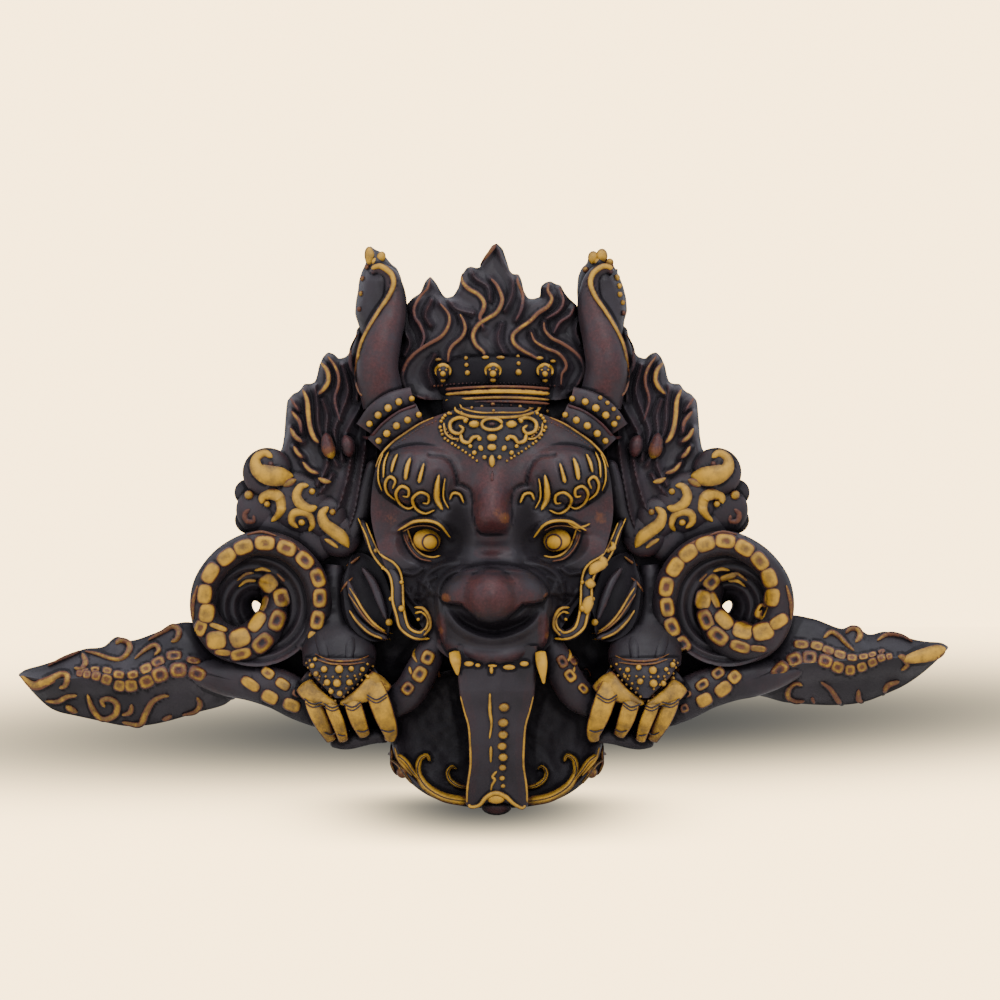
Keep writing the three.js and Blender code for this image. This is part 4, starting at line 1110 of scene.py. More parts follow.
def model_horns():
    """A rounded horn with a gilt line along its outer edge, a frilled leaf behind its tip, and two beaded
    bands round its root."""
    clay = Clay()
    flute = sizes().flute / MM
    for side in SIDES:
        carved_patch(
            clay, HORN_LEAF_RIM[side], HORN_LEAF_ROOT,
            lambda x, z: np.interp(z, [38, 60, 75], [26, 26, 19])
            + 4 * np.exp(-(((x - 44.6) / 5) ** 2)) + flute * grain(x, z, 4),
            side=side, columns=200, rows=26, edge=12, round_over=4.4, rub=0.1)
        sweep(clay, [[48, 40, 12], [48, 54, 14], [48, 65, 11]], 2.6, 3, side=side, press=False)
        for x, z, r, gold in HORN_LUMPS[side]:
            bead(clay, x, z, r, side=side, lift=0.1, gold=gold, rub=0.5, tall=1.1)
        for x, z, r, long, turn, relief in HORN_TIPS[side]:
            bead(clay, x, z, r, side=side, long=long, turn=turn, relief=relief, gold=0.95, rub=0.5,
                around=16, up=8)
        sweep(clay, HORN, HORN_HALF, [8, 8, 8, 7, 6, 5, 4, 3], side=side, rub=[0.75, 0.8, 0.65, 0.45, 0.3])
        wire(clay, HORN_LINE, [0.6, 0.8, 0.85, 0.9, 1.0, 1.2, 1.3, 1.1], side=side, lift=0.4, span=9,
            gold=[0.45, 0.6, 0.7, 0.8, 0.9], rub=0.4)
        for band, beads, count in HORN_BANDS:
            sweep(clay, band, 4.4, 3.2, side=side, step=0.8, rub=0.25)
            row_of_beads(clay, beads, count, [1.4, 1.65, 1.6, 1.3], side=side, lift=0.4, gold=0.95, rub=0.4)
        wire(clay, [[52, -2.6], [48.6, -2.8], [43.4, 2.6], [37, 7.2], [30.2, 9.8]], 0.6, side=side,
            lift=0.2, gold=0.0, rub=0.6)
    row_of_beads(clay, [[43.2, 12.8], [46, 10.8], [48.8, 8], [50.4, 4.8]], 4, 1.0, side=RIGHT, lift=0.4,
        gold=0.8)
    return clay.cast("horns")


# Flames of hair

HAIR_RIM = [
    [-37.4, 36], [-36.6, 44], [-35.2, 49.6], [-32, 53.2], [-28.8, 55.2], [-26.8, 60], [-24.8, 62],
     [-22.4, 59.2], [-20, 54.8],
    [-18.4, 53.2], [-15.6, 54], [-13.6, 57.2], [-12.4, 62], [-10.4, 65.2], [-8.4, 66], [-6.4, 65.2],
     [-4.8, 65.6], [-2, 71.2],
    [0, 74.4], [2, 75.2], [4.4, 72.8], [6, 68], [7.2, 64], [8.4, 62.8], [10.8, 62.8], [12, 60], [12.8, 56],
     [14.4, 53.2],
    [16, 52.8], [19.2, 53.6], [19.6, 58], [21.6, 59.6], [23.6, 60], [25.6, 58.8], [27.6, 58.4],
     [29.2, 55.2], [31.2, 52.8],
    [34, 50.4], [36.4, 44], [37.6, 36]]
HAIR_ROOT = [[-37, 14], [-26, 12], [0, 13], [26, 12], [38, 14]]
# Locks: [route from tip to root, half-width, gilt along it, half-width of the gilt line]
HAIR_LOCKS = [
    [[[-24.8, 61], [-26, 56.8], [-28.8, 53.6], [-31.2, 49], [-30.8, 45], [-28.8, 42], [-27.2, 37],
     [-29, 32]], 5, [0.62, 0.5, 0.3, 0.2, 0], 0.6],
    [[[-20.8, 50.8], [-17.4, 46.4], [-17.4, 42], [-20.4, 37.4], [-26.8, 33.6], [-32, 29.6], [-35.2, 24.8],
     [-36, 20], [-32.8, 14.8], [-27, 12.4]], 6,
     [0.8, 0.9, 0.75, 0.55, 0.4, 0.3, 0.2], 0.7],
    [[[-12.8, 46.4], [-11.2, 43.2], [-10.8, 40], [-12.4, 36.8], [-15.6, 34], [-17.2, 31.2], [-17.6, 27.2]],
     5, [0.8, 0.9, 0.8, 0.7], 0.65],
    [[[-11.6, 63.2], [-12, 60], [-9.6, 56.8], [-5.6, 54.4], [-3.2, 51.2], [-3.6, 48], [-4.8, 45.2],
     [-3.6, 41]], 6, [0.75, 0.9, 1, 1, 0.7, 0.2], 0.85],
    [[[-0.4, 60.8], [2, 58], [4, 53.2], [3.6, 50], [1.6, 46.8], [-1.6, 44.8], [-5.6, 42], [-7.6, 38],
     [-6.4, 34], [-3.2, 30.8], [-3, 26]], 6,
     [0.7, 0.9, 1, 0.9, 1, 0.8], 0.85],
    [[[10, 62.8], [10.4, 59.2], [12, 55.2], [12.4, 52], [11.6, 48], [9.6, 44]], 5,
     [0.65, 0.75, 0.6, 0.2, 0], 0.65],
    [[[22.8, 59.2], [22.4, 56], [24, 52.8], [22.4, 49.6], [18.4, 46.8], [15.2, 43.6], [11.2, 40.8],
     [8.4, 38], [8.8, 34.8], [12, 32], [16.4, 29.6], [19, 28]], 5.4,
     [0.75, 0.85, 0.8, 0.9, 1, 0.8, 0.6], 0.8],
    [[[33.2, 50], [31.2, 46], [27.2, 43.2], [24.8, 39]], 5, [0.3, 0.15, 0], 0.5],
    [[[20.8, 43.2], [21.2, 40], [24, 36.8], [28, 34.8], [33.2, 31.2], [36.4, 27.2], [36.8, 23.2],
     [34.4, 18.4], [31.2, 15.2]], 5,
     [0.7, 0.8, 0.6, 0.4, 0.3, 0.2], 0.65],
    [[[15.6, 39.2], [17.2, 35.6], [21.6, 32.8], [26.4, 30.8], [29.2, 27.6], [29.6, 24.8], [28, 22.4],
     [27.6, 18]], 4.4, [0.75, 0.8, 0.6, 0.5], 0.6],
    [[[-24.4, 52], [-26.8, 46], [-24.8, 42]], 3.6, 0, 0],
    [[[-4.8, 66], [-2, 70], [0.4, 73.2], [2, 75]], 3, [0.6, 0.85, 0.6], 0.75],
    [[[2, 74], [4.4, 68], [8, 61], [8, 54], [5, 48]], 4.4, 0, 0],
    [[[-35, 48], [-35.6, 41], [-33, 35], [-35, 30]], 4, 0, 0],
    [[[27, 57.6], [28.6, 52], [27, 48], [22, 44.8]], 4, [0.4, 0.2, 0], 0.5],
    [[[-17.6, 52.6], [-14, 48.4], [-7.6, 46.8]], 4, 0, 0],
    [[[-8.4, 65], [-6.8, 61], [-1.6, 57.4], [-1, 52]], 4, 0, 0],
    [[[-23, 30], [-25.6, 24], [-24, 18]], 4, 0, 0],
    [[[3.6, 42], [2.4, 36], [4.6, 31]], 4, 0, 0],
    [[[35.4, 46], [33.6, 40], [35.6, 35]], 4, 0, 0],
]


def gild(clay, locks, side=1, level=0.78):
    """Gilt lines along the crests of the locks that have them."""
    for path, _, gold, half in locks:
        if half:
            wire(clay, path, 1.05 * half * np.array([0.5, 1, 1, 1, 0.5]), side=side, lift=0,
                gold=level * np.array(gold), rub=0.9,
                 span=5, tall=0.6)


def model_hair():
    """A carved sheet with the outline of the flames, combed along its locks, and gilt lines on the
    crests."""
    clay = Clay()

    def ground(x, z):
        return np.interp(z, [12, 30, 50, 62, 75], [32, 31, 26, 21, 16]) - 0.0022 * x * x

    carved_patch(
        clay, HAIR_RIM, HAIR_ROOT,
        lambda x, z: combed(
            x, z, ground, [lock[:2] for lock in HAIR_LOCKS], 3.0, 0.3 * sizes().flute / MM, 3.4),
        columns=560, rows=110, round_over=3.4, rub=0.15)
    gild(clay, HAIR_LOCKS, level=0.6)
    return clay.cast("hair_flames")


SIDE_RIM = [
    [48, 44], [52, 43], [54.4, 40.8], [55.2, 36], [56.8, 32], [58.8, 29.6], [61.6, 28.8], [63.6, 30.8],
     [66, 31.6], [68, 29.6],
    [69.6, 26], [70.4, 22], [71.2, 19.6], [72.8, 18.8], [75.6, 18.8], [76.8, 16.8], [78, 15.6], [80, 14.8],
     [82.4, 12], [82.8, 8.8],
    [83.2, 4], [83.6, -2], [84.4, -6.8], [86, -10], [84, -16]]
SIDE_ROOT = [[44, 30], [46, 12], [46, 0], [46, -16], [52, -34], [60, -44], [74, -34]]
SIDE_LOCKS = [
    [[[54, 38.6], [56.2, 34], [56.8, 30], [56.6, 26], [54, 20], [54, 12]], 4.4, [0.7, 0.75, 0.4, 0.1, 0],
     0.75],
    [[[66, 29.8], [63.2, 26], [61.6, 22], [61.6, 18], [63, 12], [61, 4]], 4.2, [0.7, 0.7, 0.5, 0.2, 0],
     0.6],
    [[[68.8, 27.2], [66.2, 24], [65.6, 20], [67.2, 16.8], [69.6, 14.4]], 4.2, [0.9, 1, 1, 0.7], 0.95],
    [[[76, 16.4], [74.2, 12], [73.6, 6], [72.8, 0.8], [71.2, -3.2], [69.2, -5.2]], 4.4, [0.8, 1, 1, 1, 0.7],
     1.0],
    [[[80.4, 7.6], [78.6, 5.4], [77, 3], [76.4, -1]], 3.6, [0.6, 0.75, 0.5, 0], 0.7],
    [[[80.8, 0.8], [79, -2.4], [76, -4.8]], 3.6, [0.85, 0.9, 0.7], 0.9],
    [[[79.4, -6.4], [78, -9], [75.8, -11.2]], 3.4, [0.75, 0.85, 0.6], 0.8],
    [[[75.8, -12.8], [73, -16], [69.4, -17.4]], 3.4, [0.8, 0.9, 0.6], 0.8],
    [[[52, 30], [50, 20], [52.6, 10], [57, 2], [60, -6], [60, -12]], 5, 0, 0],
    [[[68, 12], [66, 6], [66.4, -2], [64, -10], [62, -14]], 4.6, 0, 0],
    [[[60, 26], [57.6, 16], [60, 8], [63, 0], [62, -8]], 4.6, 0, 0],
    [[[71, 18], [70, 10], [69.6, 2], [67, -6], [66, -14], [70, -22]], 4, 0, 0],
    [[[81, 13], [79, 10], [77.6, 8]], 3.4, [0.4, 0.3, 0], 0.5],
    [[[50, 6], [51, -8], [53, -22], [56, -36], [62, -48]], 5, 0, 0],
    [[[56, -8], [58, -20], [62, -32], [68, -40]], 4.4, 0, 0],
    [[[64, -18], [68, -24], [74, -30]], 4, 0, 0],
]
# Locks that lie free in front: [route, half-width, gilt, rub]
LOOSE_LOCKS = [
    [[[66.6, -1, 33], [65.6, -7, 35.6], [63.8, -11.4, 35]], [1.6, 2.9, 1.9], [0, 0.2, 0.75], 0.9],
    [[[59, -2, 34], [57.6, -6, 36], [56.8, -11, 35]], [1.6, 2.9, 2], 0, 0.7],
    [[[47, -12, 37], [49, -22, 36], [51.4, -32, 34], [56, -42, 32], [61, -50, 30]], [2.6, 3.4, 3.4, 3, 2],
     0, 0],
]


def model_side_flames():
    """A combed sheet with the outline of the side flames, gilt lines on its locks, and loose locks before
    it."""
    clay = Clay()

    def ground(x, z):
        return np.interp(z, [-40, -20, 0, 20, 40], [29, 31, 27, 21, 16]) - 0.10 * (np.maximum(x, 60) - 60)

    for side in SIDES:
        carved_patch(
            clay, SIDE_RIM, SIDE_ROOT,
            lambda x, z: combed(
                x, z, ground, [lock[:2] for lock in SIDE_LOCKS], 2.8, 0.3 * sizes().flute / MM, 3.4),
            side=side, columns=330, rows=90, edge=13, round_over=3, rub=0.2)
        gild(clay, SIDE_LOCKS, side, 0.7)
        for path, half, gold, rub in LOOSE_LOCKS:
            sweep(clay, path, half, 3.4, side=side, deep=8, gold=gold, rub=rub, step=0.7, ends=3)
    return clay.cast("side_flames")


# Ears and their ornaments

EAR_FOLDS = [
    [[57.6, -60, 39], [55.6, -66, 41], [51.4, -73.4, 43], [44, -80.6, 44.6]],
    [[58, -69, 39], [55, -74.8, 41.4], [49, -80.4, 43.4], [41.6, -83.4, 44.6]],
    [[52, -55, 37.4], [47.6, -61, 40.6], [44.4, -69, 43.4], [42, -76, 44.6]],
]


def model_ears():
    """A leaf-shaped ear hollowed like a spoon, with gilt strokes on its rim, under the hair strands."""
    clay = Clay()

    def spoon(width, rise, columns=17):
        """A raised rim at each side of a hollow: height follows |u|^1.6 up to 0.85 of the width, then
        falls."""
        u = np.linspace(-1, 1, columns)
        out = np.abs(u)
        height = np.where(out < 0.85, -rise * 0.55 * (1 - (out / 0.85) ** 1.6),
            -rise * ease(0.85, 1.0, out))
        return width * u, height + 0 * width

    for side in SIDES:
        # Painted shade, as a rub below 0, darkens the ear's hollow
        sweep(clay, [[55, -49, 31], [52, -56, 36], [50, -66, 40], [48, -76, 43], [43, -84, 44]],
            [2, 8, 10.6, 9.6, 3], 5,
              section=spoon, side=side, rub=-0.7, step=0.6, ends=3)
        for path in EAR_FOLDS:
            sweep(clay, path, [0.8, 1.6, 1.6, 0.8], 1.2, side=side, deep=6, step=0.7, ends=2)
        strokes = [
            ([[57, -63], [54.6, -66.6], [51.4, -72], [47.6, -76.8], [43.4, -80], [39.6, -81.6]],
             [0.3, 0.6, 0.7, 0.7, 0.6, 0.3], 0.85),
            ([[57.4, -65.4], [54, -70.4], [50.4, -75.4], [46.4, -79], [42, -81.4]],
             [0.3, 0.5, 0.6, 0.5, 0.3], 0.6),
            ([[57, -72], [54, -76.4], [49.4, -80.8], [44, -83.2], [40.4, -83.8]], [0.5, 0.7, 0.7, 0.6, 0.3],
             0.8),
            ([[58.4, -54.4], [55.4, -52.6], [53, -50.6]], [0.4, 0.7, 0.4], 0.55),
            ([[61.4, -68.6], [60.4, -65], [58.4, -61.6], [55.6, -59]], [0.3, 0.5, 0.6, 0.4], 0.5),
        ]
        for path, half, gold in strokes:
            wire(clay, path, 0.85 * np.array(half), side=side, lift=0.45, gold=0.9 * gold, rub=0.6, span=7)
    return clay.cast("ears")


def model_ear_ornaments():
    """A long ornament beside the cheek that ends in a curl: a dark welt between gilt lines and knobs."""
    clay = Clay()
    welt = [[52, -36, 38], [48.8, -44, 43], [45.4, -50, 46], [40.6, -55, 49], [38, -61, 51],
        [37.6, -68, 52],
            [36.2, -75, 52.5], [33.6, -80, 53], [29, -82, 53.5], [26, -79.4, 53.5]]
    for side in SIDES:
        sweep(clay, welt, [1.2, 2, 2.4, 2.6, 2.6, 2.6, 2.6, 2.4, 2.2, 1.6], 3.4, side=side, deep=12,
            step=0.8, ends=2)
        for path in CREST_OF_EAR:
            wire(clay, path, [0.3, 0.5, 0.55, 0.6, 0.6, 0.55], side=side, lift=0.45, span=9, gold=0.9,
                rub=0.5)
        wire(clay, HOOK, [0.5, 0.8, 0.8, 0.5], side=side, lift=0.5, gold=0.75, rub=0.3, span=7)
        for x, z, r in CREST_KNOBS:
            bead(clay, x, z, 0.75 * r, side=side, lift=0.5, gold=0.9, rub=0.5)
    solid = [
        ([[42.6, -50.4], [44.4, -53], [41.4, -54.6], [39, -57.6]], [1.2, 2.2, 2.6, 1.6]),
        ([[39.6, -59.4], [38.8, -63.2]], [2.4, 2.6]),
        ([[39.6, -66.2], [38, -69.8], [37.6, -73.4]], [2.0, 2.4, 1.6]),
        ([[45.6, -48], [48.4, -47], [47.6, -44.6]], [0.8, 1.2, 0.8]),
    ]
    for path, half in solid:
        wire(clay, path, half, side=RIGHT, lift=0.6, tall=0.7, span=9)
    return clay.cast("ear_ornaments")


# Scrolls above the coils

SCROLL_DOMES = [[90, -17, 10, 32], [92.5, -32, 10.2, 29], [77, -29, 13, 33], [66, -35, 8.6, 33],
    [61, -42, 9, 32.4], [98, -25, 5.4, 25], [97.6, -36, 5.6, 25], [84, -40, 11, 30], [71, -44, 9, 30]]
SCROLL_CURLS = [
    [[[79.6, -18.4], [84, -18.6], [89.6, -18], [94, -15.6], [94.4, -11.4], [91, -9.2], [88, -11]],
     [2.2, 4.4, 4.8, 3.4, 2.2, 1.8, 1.2], 1.0, 0.2],
    [[[83.6, -22.4], [81, -21], [78.4, -19.8]], [1.2, 1.8, 1], 0.6, 0.6],
    [[[92.4, -29.4], [91.6, -26.8], [88.4, -25.6], [85.2, -27], [84.2, -30.8], [85.6, -34], [88.4, -36.6]],
     [1.4, 2.2, 2.8, 2.7, 2.4, 1.7, 0.9], 1.0, 0.3],
    [[[73.4, -22.2], [76.4, -22.6], [78.2, -26], [76.8, -29.4], [73.4, -31.4], [70, -30.8]],
     [1, 1.7, 2.3, 2.5, 2.2, 1.2], 1.0, 0.2],
    [[[77.6, -39.2], [80.2, -36.6], [79.4, -33.4], [76, -32.8], [73, -34.4], [71.8, -37.8], [73.4, -40.6]],
     [1.0, 1.7, 2, 1.9, 1.7, 1.5, 0.8], 0.95, 0.4],
    [[[65.4, -30.8], [68, -33.4], [67, -37.4], [63.6, -40.2], [60, -43], [57.4, -47]],
     [1.1, 2.1, 2.8, 3.1, 3, 1.2], 1.0, 0.3],
    [[[67, -43.6], [64.4, -45], [61.6, -47.2]], [0.7, 1.2, 0.7], 0.75, 0.5],
    [[[97, -31.6], [99, -33.6], [98.2, -36.4], [95.4, -36.4], [95.6, -34]], [0.9, 1.3, 1.3, 1, 0.7], 0.3,
     0.9],
    [[[69.6, -19.2], [67, -20.4], [64.4, -20.8]], [0.8, 1.3, 0.8], 0.7, 0.5],
    [[[99.2, -40.4], [96.6, -42], [93, -42.4]], [0.6, 1.0, 0.6], 0.2, 0.7],
]
SCROLL_KNOBS = [[90, -29.6, 1.9, 1.0], [72, -24.6, 1.8, 0.95], [76.2, -37, 1.9, 1.0],
    [63.8, -32.8, 1.8, 0.75], [97.4, -26, 2.6, 0.8], [88.6, -13.6, 1.6, 0.3]]


def model_scrolls():
    """Rounded lobes with comma-shaped curls of gold on them."""
    clay = Clay()
    for side in SIDES:
        for x, z, radius, relief in SCROLL_DOMES:
            a = full_turn(48)
            tilt = np.linspace(0, 0.5 * np.pi, 14)[:, None]
            reach = radius * np.cos(tilt) ** 0.8 + 0 * a
            rings = np.stack([side * (x + reach * np.cos(a)), z + reach * np.sin(a),
                relief - 0.5 * radius * (1 - np.sin(tilt)) + 0 * a], -1)
            foot = rings[:1].copy()
            foot[..., 2] = BACK
            clay.add(np.concatenate([foot, rings[:-1]]), 0.0, 0.25)
            front.press(rings)
        for path, half, gold, rub in SCROLL_CURLS:
            wire(clay, path, 0.9 * np.array(half), side=side, lift=0.4, gold=gold, rub=0.4 + 0.6 * rub,
                tall=0.6, span=5)
        for x, z, r, gold in SCROLL_KNOBS:
            bead(clay, x, z, 0.8 * r, side=side, lift=0.3, gold=0.85 * gold, rub=0.8)
    return clay.cast("scrolls")


# Coils

COIL_AT = (94.4, -70)
COIL_BAND = [
    # degrees round the coil, radius of the band's middle, half-width, relief of its crest
    [225, 25.4, 4.6, 36], [205, 25.8, 4.8, 38], [180, 25.4, 5, 39], [150, 25.4, 5, 40], [120, 25.4, 5, 41],
     [90, 24.6, 5, 41],
    [60, 22.6, 5, 41], [30, 21.8, 5, 41], [5, 21.4, 5.2, 40], [-20, 20.8, 5.8, 39], [-45, 19.6, 6.8, 38.5],
     [-70, 17, 7.6, 38],
    [-95, 12.6, 7.8, 37], [-120, 9.2, 7, 36], [-150, 7.8, 6, 35], [-180, 7.4, 5.2, 33],
     [-215, 7.6, 4.6, 30], [-250, 8.4, 3.8, 26],
    [-285, 9.4, 2.8, 21],
]
# Dish inside the coil: outer radii, relief of its middle, its rise to the rim, height and turns of its
# grooves
DISH = {"wide": 25.4, "tall": 24.6, "floor": 14, "rise": 22, "groove": 0.55, "turns": 6.5}
EYE_HOLE = {"x": 94.4, "z": -71.4, "half_width": 1.9, "half_height": 3.1, "turn": 32}
COIL_ROWS = {
    LEFT: [
        [[71.6, -82.4, 1.9, 1.9, 0.9, 0], [69.8, -76, 3.7, 2.7, 0.9, 0.7],
         [68.8, -67.2, 3.7, 2.7, 0.9, 0.7], [69.6, -59.2, 3.7, 2.7, 0.9, 0.7],
         [74.8, -52, 3.7, 2.8, 0.95, 0.6], [82, -47.2, 3.8, 2.8, 1, 0.35], [90.8, -45.2, 3.9, 2.8, 1, 0.3],
          [99.2, -46.8, 3.8, 2.8, 1, 0.2],
         [106, -50.8, 3.8, 2.8, 1, 0.12], [112.4, -57.2, 4.1, 2.8, 1, 0], [114.8, -65.6, 3.8, 2.8, 1, 0.1],
          [114, -73.2, 3.7, 3, 1, 0.15],
         [116.6, -79.2, 3.2, 2.4, 0.85, 0.3]],
        [[109.4, -78.8, 3.6, 1.1, 0.9, 0], [108.6, -79.1, 0.3, 0.3, 0, 0]],
        [[110.2, -84, 3.8, 3.6, 1, 0], [100.8, -83.2, 4.0, 3.6, 1, 0], [94, -76.8, 4.2, 2.6, 0.95, 0],
         [91.4, -69.8, 3.4, 1.4, 0.7, 0]],
        [[107.6, -89, 3.2, 1.3, 0.7, 0], [100.4, -89.6, 4, 2.2, 0.9, 0.3],
         [91.8, -85.2, 4.2, 3.2, 0.8, 0.7], [86, -76.2, 4.1, 3.0, 0.8, 0.7],
         [84.4, -67.2, 3.6, 3.0, 0.95, 0.45], [89.6, -61.4, 3.6, 3.4, 1, 0]],
    ],
    RIGHT: [
        [[76.4, -85.6, 3.2, 2.6, 0.8, 0.6], [72, -78.8, 3.7, 2.8, 0.9, 0.7],
         [70, -70.8, 3.8, 2.7, 0.95, 0.5], [69.6, -62.8, 3.8, 2.8, 1, 0.4],
         [73.2, -54.8, 3.9, 2.9, 1, 0.2], [78.4, -49.2, 3.9, 2.9, 1, 0.1], [85.2, -45.6, 3.9, 2.9, 1, 0.15],
          [93.2, -44.4, 3.9, 2.8, 1, 0.3],
         [100.8, -47.2, 3.8, 2.8, 1, 0.2], [107, -52.4, 3.8, 2.8, 1, 0.25],
          [110.8, -59.2, 3.8, 2.9, 1, 0.1], [112, -66.8, 3.6, 2.9, 1, 0.1],
         [108.6, -72.8, 3.4, 2.9, 1, 0.15]],
        [[114.6, -76.6, 3.8, 2.4, 0.95, 0.1], [108.4, -80.6, 4.1, 3.4, 1, 0.15],
         [100.4, -80.2, 4.0, 3.3, 1, 0.1], [92.8, -76, 4, 2.8, 1, 0], [89.2, -68, 3.4, 1.4, 0.75, 0]],
        [[106.4, -87.4, 3.2, 1.3, 0.7, 0], [99.2, -86.6, 4, 2.2, 0.85, 0.3],
         [90.4, -82.4, 4.2, 3.0, 0.8, 0.7], [85.6, -76, 4.1, 2.8, 0.75, 0.8],
         [84.6, -68, 3.7, 3.0, 1, 0.2], [88, -61, 3.4, 2.8, 0.85, 0.5], [94.6, -58.8, 3.4, 1.3, 0.8, 0]],
    ],
}
COIL_STROKES = [
    ([[95.2, -56.2], [91.8, -55.6], [88.6, -56.6]], [0.5, 0.9, 0.5], 0.8),
    ([[86.2, -57.4], [83, -60.6]], [0.4, 0.7], 0.5),
    ([[102.2, -60.4], [98.6, -57.6], [95.4, -57.2]], [0.4, 0.8, 0.5], 0.6),
    ([[101.6, -62.8], [98.4, -60.4], [94.6, -60.4]], [0.4, 0.9, 0.7], 0.8),
    ([[119.6, -76], [119.4, -69], [117.6, -62]], [0.4, 1.0, 0.4], 0.5),
    ([[86, -42.4], [92, -40.8], [98, -41.8]], [0.3, 0.7, 0.3], 0.4),
    ([[85, -43.4], [80, -45.4], [76.4, -48.6]], [0.3, 0.8, 0.3], 0.45),
]


def coil_band():
    """Middle line of the coiled body and its half-widths: a spiral through the stations of COIL_BAND."""
    table = np.array(COIL_BAND, float)
    angle = np.radians(table[:, 0])
    path = np.column_stack([COIL_AT[0] + table[:, 1] * np.cos(angle),
        COIL_AT[1] + table[:, 1] * np.sin(angle), table[:, 3]])
    return path, list(table[:, 2])


def model_coils():
    """A sunk dish with grooves that run round it, the coiled body on its rim, and rows of gilt scales on
    it."""
    clay = Clay()
    path, half = coil_band()
    for side in SIDES:
        a = full_turn(144)
        share = np.concatenate([[0.0, 0.0], np.linspace(0.0, 1, 52), [1.0]])[:, None]
        u, v = EYE_HOLE["half_width"] * np.cos(a), EYE_HOLE["half_height"] * np.sin(a)
        inner_x, inner_z = turned(EYE_HOLE["x"], EYE_HOLE["z"], u, v, -EYE_HOLE["turn"], 1)
        outer_x, outer_z = COIL_AT[0] + DISH["wide"] * np.cos(a), COIL_AT[1] + DISH["tall"] * np.sin(a)
        x = inner_x + (outer_x - inner_x) * share
        z = inner_z + (outer_z - inner_z) * share
        grooves = DISH["groove"] * np.cos(2 * np.pi * (share * DISH["turns"] + a / (2 * np.pi)))
        slope = DISH["floor"] + DISH["rise"] * share**0.55
        relief = slope + grooves * ease(0.05, 0.3, share) * (1 - ease(0.9, 1, share))
        relief[0] = BACK
        relief[1] = 12
        relief[-1] = BACK
        rings = np.stack([side * x, z, relief], -1)
        front.press(rings[2:-1])
        closed_ring(clay, rings, 0.0, 0.1)
        sweep(clay, path, half, 6.5, side=side, step=0.8, rub=0.25)
        for row in COIL_ROWS[side]:
            scale_row(clay, [[x, z, 1.18 * long, 1.16 * wide, gold, dimple] for x, z, long, wide, gold,
                dimple in row], side=side)
        for line, width, gold in COIL_STROKES:
            wire(clay, line, width, side=side, lift=0.4, gold=gold, rub=0.4, tall=0.8, span=7)
    return clay.cast("coils")


def closed_ring(clay, rings, gilt, rub):
    """A surface closed both ways, like a tyre: the last ring joins the first."""
    rows, columns = rings.shape[:2]
    row, column = np.arange(rows)[:, None], np.arange(columns)[None, :]
    below, beside = (row + 1) % rows, (column + 1) % columns
    quads = np.stack([
        row * columns + column, row * columns + beside, below * columns + beside, below * columns + column],
        -1).reshape(-1, 4)
    clay.take(rings.reshape(-1, 3), quads, np.zeros((0, 3), int), np.full(rows * columns, gilt),
        np.full(rows * columns, rub))


# Tails

TAIL_RIB = [[104, -100, 32], [119, -94.6, 29], [139, -92.6, 26], [155, -91.6, 22], [171, -91, 17],
    [183.6, -87.4, 11]]
TAIL_ABOVE = {
    LEFT: [[0, 13.4], [0.16, 19.4], [0.24, 19], [0.32, 15.6], [0.42, 13], [0.48, 14.9], [0.55, 11.4],
        [0.65, 11], [0.8, 7.2], [0.88, 5], [0.96, 2.6], [1, 0.6]],
    RIGHT: [[0, 14], [0.18, 20], [0.3, 17.6], [0.42, 12.6], [0.48, 13.6], [0.56, 9.6], [0.65, 10.4],
    [0.8, 6.6], [0.88, 4.6], [0.96, 2.6], [1, 0.6]],
}
TAIL_BELOW = {
    LEFT: [[0, 7], [0.07, 12], [0.19, 16.6], [0.33, 20.6], [0.46, 21.5], [0.57, 19.5], [0.72, 15.1],
        [0.84, 11.7], [0.93, 6.4], [1, 0.6]],
    RIGHT: [[0, 6], [0.08, 9.6], [0.2, 15], [0.38, 17.9], [0.54, 17.4], [0.69, 13.1], [0.82, 7.8],
    [0.945, 3.2], [1, 0.6]],
}
TAIL_EDGE = 9
TAIL_TURN = {LEFT: (-7.4, 1.075), RIGHT: (0.0, 1.0)}
